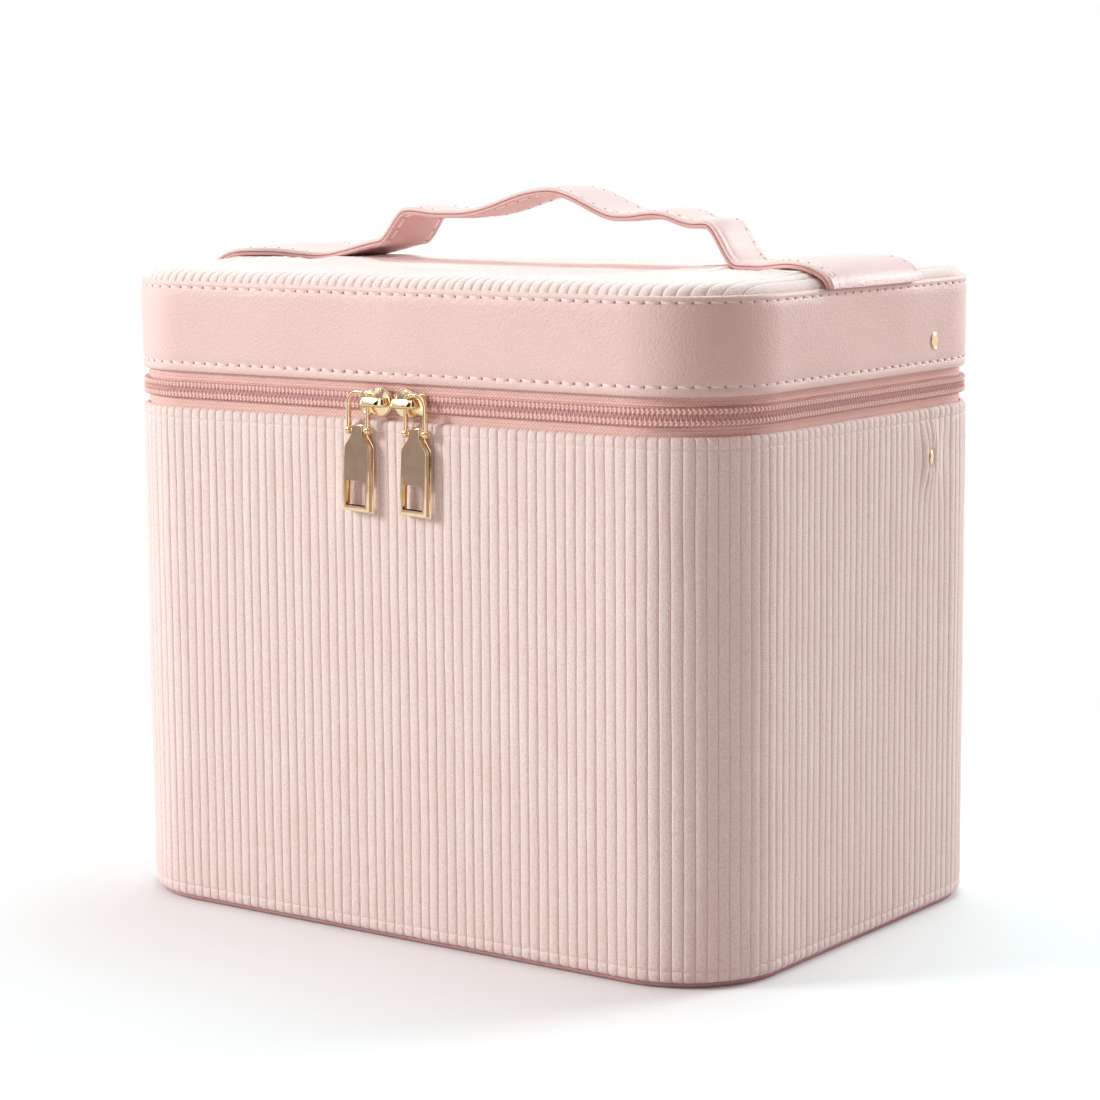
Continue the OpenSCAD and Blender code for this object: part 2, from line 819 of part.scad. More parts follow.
// A wire loop that goes under the bridge, over its rear foot and down to two eyes
module ring_wire(ring_in) {
    bar_z = bridge_h / 2 + ring_lift + wire_d / 2;
    bend_z = bar_z - ring_bend_r;
    eye_r = pin_d / 2 + eye_wall;
    eye_w = wire_d + 2 * eye_proud;
    translate([-ring_in, -ring_y, 0]) difference() {
        union() {
            for (x = [0, -ring_w]) {
                translate([x, 0, -pin_drop]) cylinder(d = wire_d, h = pin_drop + bend_z);
                translate([x - eye_w / 2, 0, -pin_drop]) rotate([0, 90, 0])
                    cylinder(r = eye_r, h = eye_w);
            }
            for (turn = [0, 1]) translate([turn * -ring_w, 0, 0]) mirror([turn, 0, 0])
                translate([-ring_bend_r, 0, bend_z]) rotate([90, 0, 0])
                    rotate_extrude(angle = 90) translate([ring_bend_r, 0]) circle(d = wire_d);
            translate([ring_bend_r - ring_w, 0, bar_z]) rotate([0, 90, 0])
                cylinder(d = wire_d, h = ring_w - 2 * ring_bend_r);
        }
        translate([-ring_w - wire_d - cut, 0, -pin_drop]) rotate([0, 90, 0])
            cylinder(d = pin_d + 2 * pin_gap, h = ring_w + 2 * wire_d + 2 * cut);
    }
}

function ring_in(side) = side < 0 ? ring_in_left : ring_in_right;

module ring(side) {
    color("#e6c48d") at_slider(side) ring_wire(ring_in(side));
}

// The pin runs through both eyes and the tab's neck, with a head outside each eye
module tab_pin(side) {
    head_t = 0.7;
    head_d = pin_d + 1.1;
    reach = ring_w / 2 + wire_d / 2 + side_gap;
    color("#e6c48d") at_slider(side) translate([-ring_in(side) - ring_w / 2, -ring_y, -pin_drop])
        rotate([0, 90, 0]) {
            cylinder(d = pin_d, h = 2 * reach, center = true);
            for (z = [-reach - head_t, reach]) translate([0, 0, z]) cylinder(d = head_d, h = head_t);
        }
}

// A convex plate with its edges bevelled back and front
module bevelled(points) {
    translate([0, tab_t / 2, 0]) rotate([90, 0, 0]) hull() {
        translate([0, 0, tab_bevel]) linear_extrude(tab_t - 2 * tab_bevel) polygon(points);
        linear_extrude(tab_t) offset(delta = -tab_bevel) polygon(points);
    }
}

module tab_plate(lean) {
    neck_top = pin_d / 2 + 1;
    neck_foot = -1.2;
    neck_nick = 0.6;
    shoulder_z = -5.6;
    lap = 1;
    difference() {
        rotate([0, lean, 0]) difference() {
            union() {
                bevelled([[-neck_w / 2, shoulder_z + lap], [neck_w / 2, shoulder_z + lap],
                    [neck_w / 2, neck_top - neck_nick], [neck_w / 2 - neck_nick, neck_top],
                    [neck_nick - neck_w / 2, neck_top], [-neck_w / 2, neck_top - neck_nick]]);
                bevelled([[-tab_shoulder_w / 2, shoulder_z - lap], [tab_shoulder_w / 2, shoulder_z - lap],
                    [tab_shoulder_w / 2, shoulder_z], [neck_w / 2, neck_foot],
                    [-neck_w / 2, neck_foot], [-tab_shoulder_w / 2, shoulder_z]]);
                bevelled([[-tab_w / 2, -tab_len], [tab_w / 2, -tab_len],
                    [tab_shoulder_w / 2, shoulder_z], [-tab_shoulder_w / 2, shoulder_z]]);
            }
            translate([-window_w / 2, -tab_t, -tab_len + window_sill])
                cube([window_w, 2 * tab_t, window_h]);
        }
        // The pin's bore stays level
        rotate([0, 90, 0]) cylinder(d = pin_d + 2 * pin_gap, h = tab_w, center = true);
    }
}

module tab(side) {
    color("#e3bf86") at_slider(side) translate([-ring_in(side) - ring_w / 2, -ring_y, -pin_drop])
        tab_plate(-side * tab_lean);
}

base_cover();
base_board();
body_board();
body_cover();
body_lining();
floor_pad();
divider_long();
divider_front(-1);  // divider_front_left
divider_front(1);  // divider_front_right
divider_rear();
body_zip_tape();
body_zip_coil();
body_rivet(-1);  // body_rivet_left
body_rivet(1);  // body_rivet_right
fold_strip_lower();
lid_board();
lid_panel();
lid_band();
lid_top_pad();
lid_top_cover();
lid_lining();
mirror_glass();  // mirror
mirror_frame();
strap_top_strip();
strap_under_strip();
lid_zip_tape();
lid_zip_coil();
lid_rivet(-1);  // lid_rivet_left
lid_rivet(1);  // lid_rivet_right
fold_strip_upper();
slider(-1);  // slider_left
slider(1);  // slider_right
ring(-1);  // ring_left
ring(1);  // ring_right
tab(-1);  // tab_left
tab(1);  // tab_right
tab_pin(-1);  // tab_pin_left
tab_pin(1);  // tab_pin_right
stay_lower(-1);  // stay_lower_left
stay_lower(1);  // stay_lower_right
stay_upper(-1);  // stay_upper_left
stay_upper(1);  // stay_upper_right
stay_pin(-1);  // stay_pin_left
stay_pin(1);  // stay_pin_right
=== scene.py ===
"""Looks of a makeup train case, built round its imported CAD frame. Metres, in the CAD's own frame."""
import json
import math

import bpy
import numpy as np
from mathutils import Matrix, Vector

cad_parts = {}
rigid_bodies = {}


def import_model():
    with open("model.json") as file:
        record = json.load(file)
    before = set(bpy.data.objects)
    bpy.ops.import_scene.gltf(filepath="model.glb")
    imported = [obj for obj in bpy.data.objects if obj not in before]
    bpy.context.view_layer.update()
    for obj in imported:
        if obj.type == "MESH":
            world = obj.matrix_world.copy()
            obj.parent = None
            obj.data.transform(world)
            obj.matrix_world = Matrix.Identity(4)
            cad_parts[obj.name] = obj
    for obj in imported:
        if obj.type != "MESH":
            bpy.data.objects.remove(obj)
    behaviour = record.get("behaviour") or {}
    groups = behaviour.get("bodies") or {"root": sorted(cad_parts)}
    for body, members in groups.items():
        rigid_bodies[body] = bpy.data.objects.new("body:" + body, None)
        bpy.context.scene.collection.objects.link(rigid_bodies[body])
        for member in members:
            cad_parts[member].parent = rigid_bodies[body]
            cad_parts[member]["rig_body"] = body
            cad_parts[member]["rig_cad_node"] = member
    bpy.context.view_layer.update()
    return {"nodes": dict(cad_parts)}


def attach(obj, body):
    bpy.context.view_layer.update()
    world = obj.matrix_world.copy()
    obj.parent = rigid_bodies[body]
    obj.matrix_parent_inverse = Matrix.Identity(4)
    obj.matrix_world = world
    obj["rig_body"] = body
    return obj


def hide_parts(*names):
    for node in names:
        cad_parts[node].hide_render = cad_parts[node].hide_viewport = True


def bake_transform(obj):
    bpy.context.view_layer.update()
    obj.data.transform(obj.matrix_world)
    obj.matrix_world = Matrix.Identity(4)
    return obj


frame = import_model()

bpy.ops.object.select_all(action="DESELECT")

MM = 0.001

# ---- Sizes of the case, from its CAD ----

CASE_W, CASE_D, CORNER_R = 250 * MM, 178 * MM, 35 * MM
BAND_TOP, DOME_TOP = 212 * MM, 216 * MM
ZIP_Z = 176 * MM
FOLD_Y = CASE_D / 2 + 0.65 * MM
# Distance of each rivet behind the middle of a side, and its height
BODY_RIVET, LID_RIVET = (39 * MM, 153.7 * MM), (42 * MM, 192 * MM)
STITCH, WALE, COIL_PITCH = 5 * MM, 3.65 * MM, 1.6 * MM


# ---- Modelling helpers ----

def coords(obj):
    """The places of a mesh's vertices, one to a row."""
    co = np.empty(len(obj.data.vertices) * 3)
    obj.data.vertices.foreach_get("co", co)
    return co.reshape(-1, 3)


def place(obj, co):
    """Puts the vertices of a mesh at these places."""
    obj.data.vertices.foreach_set("co", np.ascontiguousarray(co).ravel())
    obj.data.update()
    return obj


def table(*columns):
    """Points, one to a row, from their columns."""
    return np.stack(columns, 1)


def only(obj):
    """Selects one object and makes it active."""
    bpy.ops.object.select_all(action="DESELECT")
    obj.select_set(True)
    bpy.context.view_layer.objects.active = obj
    return obj


def in_edit(obj, *steps):
    """Runs mesh operators on the whole mesh in edit mode."""
    only(obj)
    bpy.ops.object.mode_set(mode="EDIT")
    bpy.ops.mesh.select_all(action="SELECT")
    for step in steps:
        step()
    bpy.ops.object.mode_set(mode="OBJECT")
    return obj


def merge(distance=0.005 * MM):
    """A step for edit mode: vertices that lie together become one."""
    return lambda: bpy.ops.mesh.remove_doubles(threshold=distance)


def close_holes():
    """Puts a face on each open edge loop."""
    bpy.ops.mesh.select_all(action="DESELECT")
    bpy.ops.mesh.select_non_manifold(extend=False, use_wire=False, use_multi_face=False,
                                     use_non_contiguous=False, use_verts=False)
    bpy.ops.mesh.edge_face_add()
    bpy.ops.mesh.select_all(action="SELECT")


def normals_out():
    """Turns all faces outwards."""
    bpy.ops.mesh.normals_make_consistent(inside=False)


def sealed(obj):
    """Merges edges that touch and turns the faces outwards."""
    return in_edit(obj, merge(), normals_out)


def modify(obj, kind, **settings):
    """Adds a modifier and applies it."""
    only(obj)
    mod = obj.modifiers.new(kind.title(), kind)
    for key, value in settings.items():
        setattr(mod, key, value)
    bpy.ops.object.modifier_apply(modifier=mod.name)
    return obj


def smooth(obj, angle=40):
    """Shades a piece smooth, but for edges sharper than an angle."""
    only(obj)
    bpy.ops.object.shade_smooth_by_angle(angle=math.radians(angle))
    return obj


def named(obj, name):
    obj.name = name
    obj.data.name = name
    return obj


def primitive(add, **settings):
    """A primitive, with its place put into its mesh."""
    add(**settings)
    obj = only(bpy.context.active_object)
    bpy.ops.object.transform_apply(location=True, rotation=True, scale=True)
    return obj


def join(name, objects):
    """Makes one object of several."""
    bpy.ops.object.select_all(action="DESELECT")
    for obj in objects:
        obj.select_set(True)
    bpy.context.view_layer.objects.active = objects[0]
    bpy.ops.object.join()
    return named(bpy.context.active_object, name)


def sheet_grid(name, columns, rows):
    """A flat sheet with a vertex at each column and row, which give the vertex its X and Z."""
    columns, rows = np.asarray(columns, float), np.asarray(rows, float)
    obj = primitive(bpy.ops.mesh.primitive_grid_add, x_subdivisions=len(columns) - 1,
                    y_subdivisions=len(rows) - 1, size=1)
    named(obj, name)
    co = coords(obj)
    i = np.rint((co[:, 0] + 0.5) * (len(columns) - 1)).astype(int)
    j = np.rint((co[:, 1] + 0.5) * (len(rows) - 1)).astype(int)
    place(obj, table(columns[i], np.zeros(len(co)), rows[j]))
    return obj, i, j


def sweep(name, columns, section, at, relief=None, closed_path=True, closed_section=True):
    """Sweeps a section of (outward, up) points along a path, with relief moving its points outwards."""
    section = np.asarray(section, float)
    if closed_section:
        section = np.vstack([section, section[:1]])
    obj, i, j = sheet_grid(name, columns, np.arange(len(section)))
    s = np.asarray(columns, float)[i]
    out, up = section[j, 0].copy(), section[j, 1].copy()
    if relief is not None:
        s, out, up = relief(s, out, up)
    p, n, b = at(s)
    place(obj, p + n * out[:, None] + b * up[:, None])
    steps = [merge()]
    if not (closed_path and closed_section):
        steps.append(close_holes)
    in_edit(obj, *steps, normals_out)
    return obj


def skin(name, rings):
    """A skin over closed rings of points, one after another, with its two ends closed."""
    rings = np.array(rings, float)
    n = rings.shape[1]
    obj, i, j = sheet_grid(name, np.arange(n + 1), np.arange(len(rings)))
    place(obj, rings[j, i % n])
    return in_edit(obj, merge(), close_holes, normals_out)


def bend(obj, at, start=0.0):
    """Bends flat work along a path: X runs along it, Y stands out from it."""
    co = coords(obj)
    p, n, b = at(co[:, 0] + start)
    return place(obj, p + n * co[:, 1:2] + b * co[:, 2:3])


def repeat(obj, count, step):
    """Copies work in a row along X."""
    return modify(obj, "ARRAY", count=count, use_relative_offset=False, use_constant_offset=True,
                  constant_offset_displace=(step, 0, 0))


def rounded_path(width, depth, radius):
    """The path round a rounded rectangle, clockwise from the middle of the back, and its length."""
    hx, hy = width / 2 - radius, depth / 2 - radius
    arc = radius * math.pi / 2
    stops = np.cumsum([0, hx, arc, 2 * hy, arc, 2 * hx, arc, 2 * hy, arc, hx])
    turns = np.radians([90, 90, 0, 0, -90, -90, -180, -180, -270, -270])
    cx = np.array([0, hx, hx, hx, hx, -hx, -hx, -hx, -hx, 0])
    cy = np.array([hy, hy, hy, -hy, -hy, -hy, -hy, hy, hy, hy])
    length = stops[-1]

    def at(s):
        s = np.mod(s, length)
        a = np.interp(s, stops, turns)
        zero = np.zeros_like(a)
        out = table(np.cos(a), np.sin(a), zero)
        centre = table(np.interp(s, stops, cx), np.interp(s, stops, cy), zero)
        return centre + radius * out, out, np.tile([0.0, 0.0, 1.0], (len(a), 1))

    return at, length


def line_path(points, outward):
    """The path along a row of points, with the outward direction at each."""
    points, outward = np.asarray(points, float), np.asarray(outward, float)
    s = np.concatenate([[0], np.cumsum(np.linalg.norm(np.diff(points, axis=0), axis=1))])
    tangent = np.gradient(points, axis=0)
    tangent /= np.linalg.norm(tangent, axis=1)[:, None]
    outward = outward / np.linalg.norm(outward, axis=1)[:, None]
    side = np.cross(tangent, outward)

    def at(x):
        return [table(*[np.interp(x, s, column) for column in values.T])
                for values in (points, outward, side)]

    return at, s[-1]


def wobble(seed, along, across, period=None, count=7):
    """A smooth, uneven field over two lengths, about -1 to 1. It can repeat along the first one."""
    rng = np.random.default_rng(seed)
    k = rng.normal(size=(count, 2)) * (along, across)
    if period:
        k[:, 0] = np.rint(k[:, 0] * period / (2 * math.pi)) * 2 * math.pi / period
    phase = rng.uniform(0, 2 * math.pi, count)

    def value(u, v):
        total = np.zeros(np.shape(u))
        for (ku, kv), ph in zip(k, phase):
            total = total + np.sin(ku * u + kv * v + ph)
        return total / math.sqrt(count)

    return value


def bump(x, middle, width):
    """A rounded bump, 1 at its middle."""
    return np.exp(-(((x - middle) / width) ** 2))


def smoothstep(u):
    """A soft step from 0 to 1."""
    c = np.clip(u, 0, 1)
    return c * c * (3 - 2 * c)


def edge_roll(inside, width):
    """Share of full height near a rounded edge."""
    return np.sqrt(np.clip(1 - (1 - np.clip(inside / width, 0, 1)) ** 2, 0, 1))


def around(step):
    """Angles once round a circle, a number of degrees apart."""
    return np.radians(np.arange(0, 360, step))


def store(obj, name, values):
    """Keeps one number for each vertex, for the material."""
    attribute = obj.data.attributes.new(name, "FLOAT", "POINT")
    attribute.data.foreach_set("value", np.asarray(values, np.float32))


# ---- Materials ----

def tone(r, g, b):
    """A colour as linear numbers. It is given as 0 to 255 on screen, or as linear numbers up to 1."""
    def linear(c):
        c /= 255
        return c / 12.92 if c <= 0.04045 else ((c + 0.055) / 1.055) ** 2.4
    return (r, g, b, 1.0) if max(r, g, b) <= 1 else (linear(r), linear(g), linear(b), 1.0)


class Nodes:
    """Adds nodes to a tree and links them."""

    def __init__(self, tree):
        self.tree = tree

    def feed(self, node, key, value):
        if isinstance(value, bpy.types.NodeSocket):
            self.tree.links.new(value, node.inputs[key])
        else:
            node.inputs[key].default_value = value

    def add(self, kind, settings=None, inputs=None, **named_inputs):
        node = self.tree.nodes.new("ShaderNode" + kind)
        for key, value in (settings or {}).items():
            setattr(node, key, value)
        for key, value in (inputs or {}).items():
            self.feed(node, key, value)
        for key, value in named_inputs.items():
            self.feed(node, key.replace("_", " "), value)
        return node

    def math(self, operation, a, b=0.0):
        return self.add("Math", {"operation": operation}, {0: a, 1: b}).outputs[0]

    def plus(self, a, b, share):
        """a and a share of b."""
        return self.math("ADD", a, self.math("MULTIPLY", b, share))

    def mix(self, share, a, b):
        return self.add("Mix", {"data_type": "RGBA"}, {0: share, 6: a, 7: b}).outputs[2]

    def ramp(self, value, low, high):
        """Spreads low to high over 0 to 1."""
        return self.add("MapRange", Value=value, From_Min=low, From_Max=high).outputs[0]

    def object_place(self):
        return self.add("TexCoord").outputs["Object"]

    def noise(self, scale, detail=2.0, stretch=None):
        place_on = self.object_place()
        if stretch:
            place_on = self.add("Mapping", Vector=place_on, Scale=stretch).outputs[0]
        return self.add("TexNoise", Vector=place_on, Scale=scale, Detail=detail).outputs[0]

    def stored(self, name):
        return self.add("Attribute", {"attribute_name": name}).outputs["Fac"]

    def use(self, tree, **inputs):
        return self.add("Group", {"node_tree": tree}, **inputs).outputs

    def bumped(self, shader, height, depth, strength):
        node = self.add("Bump", Height=height, Distance=depth, Strength=strength)
        self.feed(shader, "Normal", node.outputs[0])

    def seen(self):
        """Rays from the camera, and all rays that show a thing to the camera."""
        path = self.add("LightPath").outputs
        mirrored = self.math("MAXIMUM", path["Is Glossy Ray"], path["Is Transmission Ray"])
        return path["Is Camera Ray"], self.math("MAXIMUM", path["Is Camera Ray"], mirrored)

    def end(self, surface):
        self.feed(self.tree.nodes["Material Output"], "Surface", surface.outputs[0])


def effect(name, inputs, build):
    """A node group with float inputs. A function fills it and gives its outputs."""
    tree = bpy.data.node_groups.new(name, "ShaderNodeTree")

    def socket(key, way):
        return tree.interface.new_socket(name=key, in_out=way, socket_type="NodeSocketFloat")

    for key, value in inputs.items():
        socket(key, "INPUT").default_value = value
    outputs = build(Nodes(tree), tree.nodes.new("NodeGroupInput").outputs)
    for key in outputs:
        socket(key, "OUTPUT")
    end = tree.nodes.new("NodeGroupOutput")
    for key, value in outputs.items():
        tree.links.new(value, end.inputs[key])
    return tree


def pile(nodes, given):
    """Tufts of cut pile: their height, the share of light yarn in them, and the shade between them."""
    place_on, size = nodes.object_place(), given["Tuft"]
    shift = nodes.add("TexNoise", Vector=place_on, Scale=size, Detail=1.0).outputs["Color"]
    moved = nodes.add("VectorMath", {"operation": "MULTIPLY_ADD"}, {0: shift, 1: (0.0005,) * 3, 2: place_on})
    tuft = nodes.add("TexVoronoi", Vector=moved.outputs[0], Scale=size, Randomness=0.85).outputs["Distance"]
    hair = nodes.noise(nodes.math("MULTIPLY", size, 2.5))
    gap = nodes.ramp(tuft, 0.3, 0.75)
    fine = nodes.math("MULTIPLY", nodes.ramp(hair, 0.35, 0.65), 0.6)
    coarse = nodes.ramp(nodes.noise(given["Drift"], 3.0), 0.3, 0.7)
    return {"Height": nodes.math("SUBTRACT", nodes.math("MULTIPLY", hair, 0.5), gap),
            "Mottle": nodes.plus(fine, coarse, 0.4), "Gap": gap}


def grain(nodes, given):
    """Fine pebbled grain of coated leather, with soft drifts of tone."""
    cells = nodes.add("TexVoronoi", {"feature": "SMOOTH_F1"}, Vector=nodes.object_place(),
                      Scale=given["Cell"], Smoothness=0.6).outputs["Distance"]
    return {"Height": nodes.plus(cells, nodes.noise(given["Cell"], 3.0), 0.8),
            "Drift": nodes.ramp(nodes.noise(given["Drift"], 3.0), 0.3, 0.7)}


def weave(nodes, given):
    """Weave of a tape or cloth: fine cords that slant both ways."""
    place_on = nodes.object_place()
    scale = nodes.math("DIVIDE", given["Thread"], 6.28)
    waves = []
    for lean in ((1.0, 1.0, 1.0), (-1.0, -1.0, 1.0)):
        turned = nodes.add("Mapping", Vector=place_on, Scale=lean).outputs[0]
        waves.append(nodes.add("TexWave", {"bands_direction": "DIAGONAL"}, Vector=turned,
                               Scale=scale, Distortion=0.5, Detail=1.0).outputs["Fac"])
    cords = nodes.math("SQRT", nodes.math("MULTIPLY", *waves))
    fuzz = nodes.noise(given["Thread"])
    return {"Height": nodes.plus(cords, fuzz, 0.5),
            "Tone": nodes.plus(nodes.math("MULTIPLY", cords, 0.8), fuzz, 0.3)}


PILE = effect("pile", {"Tuft": 1100.0, "Drift": 60.0}, pile)
GRAIN = effect("grain", {"Cell": 1300.0, "Drift": 25.0}, grain)
WEAVE = effect("weave", {"Thread": 2600.0}, weave)


def finish_material(name, **constants):
    """A material with its Principled shader. Constants go straight onto the shader's sockets."""
    mat = bpy.data.materials.new(name)
    mat.use_nodes = True
    nodes = Nodes(mat.node_tree)
    shader = mat.node_tree.nodes["Principled BSDF"]
    for key, value in constants.items():
        shader.inputs[key.replace("_", " ")].default_value = value
    return mat, nodes, shader


def corduroy():
    """Cream chenille ribs over pink grooves, whose tone is partly painted shade. The mesh carries the height
    of its ribs.
    """
    mat, nodes, shader = finish_material("corduroy", Roughness=0.95, Sheen_Weight=0.04, Sheen_Roughness=0.5,
                                         Specular_IOR_Level=0.15)
    tufts, rib = nodes.use(PILE, Tuft=1900.0, Drift=45.0), nodes.stored("rib")
    crest = nodes.mix(tufts["Mottle"], tone(250, 239, 234), tone(255, 254, 252))
    # Painted shade between the tufts: where the gap is deep the crest turns a darker pink
    tufted = nodes.mix(nodes.math("MULTIPLY", tufts["Gap"], 0.7), crest, tone(244, 217, 210))
    flank = nodes.mix(nodes.ramp(rib, 0.2, 0.75), tone(254, 238, 232), tufted)
    # Groove tone: the pink ground between the wales, made darker as painted shade in the grooves; the tufts
    # rag its edges
    groove_and_shade = nodes.ramp(nodes.plus(rib, tufts["Height"], 0.32), -0.2, 0.24)
    nodes.feed(shader, "Base Color", nodes.mix(groove_and_shade, tone(248, 210, 202), flank))
    nodes.bumped(shader, tufts["Height"], 0.00015, 0.6)
    return mat


def finish(name, low, high, pattern, depth=0.0, strength=0.0, **constants):
    """A material between two colours. Its pattern gives the share of the second one, the height and, where it
    varies, the roughness."""
    mat, nodes, shader = finish_material(name, **constants)
    share, height, *rough = pattern(nodes)
    nodes.feed(shader, "Base Color", nodes.mix(share, tone(*low), tone(*high)))
    if rough:
        nodes.feed(shader, "Roughness", rough[0])
    if depth:
        nodes.bumped(shader, height, depth, strength)
    return mat


def leather(name, low, high, rough):
    """Coated leather: satin, finely pebbled, a little uneven in tone and gloss."""
    def pattern(nodes):
        pebbles = nodes.use(GRAIN, Cell=1300.0, Drift=22.0)
        return pebbles["Drift"], pebbles["Height"], nodes.plus(rough - 0.05, pebbles["Height"], 0.08)
    return finish(name, low, high, pattern, 0.00017, 0.6, Specular_IOR_Level=0.4)


def cloth(name, low, high, thread, depth):
    """Woven cloth, whose cords give its tone and height."""
    def pattern(nodes):
        cords = nodes.use(WEAVE, Thread=thread)
        return cords["Tone"], cords["Height"]
    return finish(name, low, high, pattern, depth, 0.7, Roughness=0.9, Sheen_Weight=0.2, Sheen_Roughness=0.5,
                  Specular_IOR_Level=0.2)


def brushed_cloth(name, low, high):
    """Napped lining cloth, such as the inside of a case."""
    def pattern(nodes):
        nap = nodes.use(PILE, Tuft=2200.0, Drift=40.0)
        return nap["Mottle"], nap["Height"]
    return finish(name, low, high, pattern, 0.0002, 0.5, Roughness=0.95, Sheen_Weight=0.3,
                  Sheen_Roughness=0.5, Specular_IOR_Level=0.15)


def sewing_thread(name, low, high):
    """Spun thread, mottled by its fibres."""
    def pattern(nodes):
        fibre = nodes.noise(3000.0)
        return nodes.ramp(fibre, 0.3, 0.7), fibre
    return finish(name, low, high, pattern, 0.00008, 0.6, Roughness=0.6, Sheen_Weight=0.2,
                  Specular_IOR_Level=0.3)


def gold(name, low, high, rough, scratch=0.05):
    """Pale gold plate: polished, with hairlines and slight clouding."""
    def pattern(nodes):
        cloud, hair = nodes.noise(260.0, 3.0), nodes.noise(900.0, 2.0, (1.0, 1.0, 0.06))
        uneven = nodes.plus(rough, nodes.ramp(hair, 0.45, 0.75), scratch)
        return nodes.ramp(cloud, 0.35, 0.65), nodes.plus(cloud, hair, 0.3), uneven
    return finish(name, low, high, pattern, 0.00003, 0.25, Metallic=1.0)


def nylon(nodes):
    """Smooth nylon, ridged along the coil where its loops turn."""
    cloud = nodes.noise(900.0)
    ridge = nodes.math("SINE", nodes.math("MULTIPLY", nodes.stored("run"), 4 * 2 * math.pi / COIL_PITCH))
    return nodes.ramp(cloud, 0.3, 0.7), nodes.plus(cloud, ridge, 0.5), nodes.plus(0.27, cloud, 0.15)


def fibreboard(nodes):
    """Pressed board with short fibres."""
    fibre = nodes.noise(500.0, 4.0, (1.0, 1.0, 3.0))
    return nodes.ramp(fibre, 0.3, 0.7), fibre


def wiped_glass(nodes):
    """Silvered glass with faint smears."""
    smear = nodes.noise(30.0, 4.0, (1.0, 3.0, 1.0))
    return nodes.ramp(smear, 0.3, 0.7), smear, nodes.math("MULTIPLY", nodes.ramp(smear, 0.5, 0.9), 0.04)


CORDUROY = corduroy()
PU = leather("pink_leather", (237, 211, 206), (242, 217, 212), 0.42)
STRAP_PU = leather("strap_leather", (234, 208, 204), (240, 215, 211), 0.39)
PU_UNDER = leather("strap_under_leather", (218, 174, 170), (226, 184, 180), 0.55)
PU_BASE = leather("base_leather", (200, 156, 160), (208, 166, 168), 0.6)
# Dark leather for the needle holes: painted shade inside the holes
NEEDLE_HOLE_SHADE = leather("needle_hole_painted_shade", (186, 126, 120), (200, 142, 136), 0.8)
TAPE = cloth("zip_tape_weave", (236, 182, 170), (255, 238, 230), 2900.0, 0.00014)
HOOKS = cloth("hook_tape", (214, 176, 170), (232, 200, 194), 1600.0, 0.0003)
COIL = finish("zip_coil_nylon", (212, 164, 162), (228, 184, 180), nylon, 0.00008, 0.5, Specular_IOR_Level=0.5)
# Pale cream, lighter than the salmon-peach thread: the chain stitches carry painted highlight
COIL_THREAD_AND_HIGHLIGHT = sewing_thread("zip_thread_and_painted_highlight", (252, 222, 208), (255, 250, 244))
# Salmon cord under the chain stitches: partly the thread's own salmon, partly painted shade between the
# stitch lobes
CHAIN_CORD_AND_SHADE = sewing_thread("zip_chain_cord_and_shade", (218, 152, 138), (232, 176, 162))
THREAD = sewing_thread("sewing_thread", (248, 232, 222), (255, 250, 244))
GOLD = gold("polished_gold", (0.86, 0.66, 0.40), (0.93, 0.75, 0.50), 0.07)
STAY_GOLD = gold("satin_gold", (0.80, 0.62, 0.38), (0.88, 0.71, 0.46), 0.24, 0.1)
# Near-black metal of the lock pin: painted shade of the deep lock hole, darker than steel
LOCK_HOLE_SHADE = gold("lock_hole_shade_metal", (0.02, 0.018, 0.016), (0.05, 0.045, 0.04), 0.4)
LINING = brushed_cloth("lining_nap", (226, 196, 190), (240, 216, 210))
DIVIDER = brushed_cloth("divider_nap", (222, 188, 182), (238, 210, 204))
FOAM = brushed_cloth("lid_foam", (228, 220, 204), (244, 238, 226))
BOARD = finish("fibreboard", (150, 128, 104), (186, 164, 136), fibreboard, 0.0002, 0.5, Roughness=0.9)
MIRROR = finish("mirror_silver", (236, 238, 240), (244, 246, 247), wiped_glass, Metallic=1.0)


def finished(obj, angle, mat, body, replaces=()):
    """Smooths a piece up to an angle, gives it its material and its body, and hides the nodes that it stands
    for.
    """
    if angle:
        smooth(obj, angle)
    obj.data.materials.clear()
    obj.data.materials.append(mat)
    if body:
        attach(obj, body)
    if replaces:
        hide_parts(*replaces)
    return obj


# ---- Corduroy of the body ----

case_at, CASE_ROUND = rounded_path(CASE_W, CASE_D, CORNER_R)
BACK_HALF = CASE_W / 2 - CORNER_R
SIDE_MIDDLE = BACK_HALF + CORNER_R * math.pi / 2 + CASE_D / 2 - CORNER_R
# Height of one wale across its width
RIB_AT = np.array([0.0, 0.04, 0.1, 0.22, 0.5, 0.78, 0.9, 0.96])
RIB_HIGH = np.array([0.0, 0.5, 0.77, 0.94, 1.0, 0.94, 0.77, 0.5])
RIB_DEEP = 0.62 * MM


def wale_columns(length, count):
    """The places of points across a number of wales, and the height of the rib at each."""
    turns = (np.arange(count)[:, None] + RIB_AT[None, :]).ravel()
    return np.append(turns, count) * (length / count), np.append(np.tile(RIB_HIGH, count), RIB_HIGH[0])


def from_rivet(s, rivet):
    """Distance along the case from the rivet on the same side."""
    return np.where(s > CASE_ROUND / 2, CASE_ROUND - s, s) - (SIDE_MIDDLE - rivet[0])


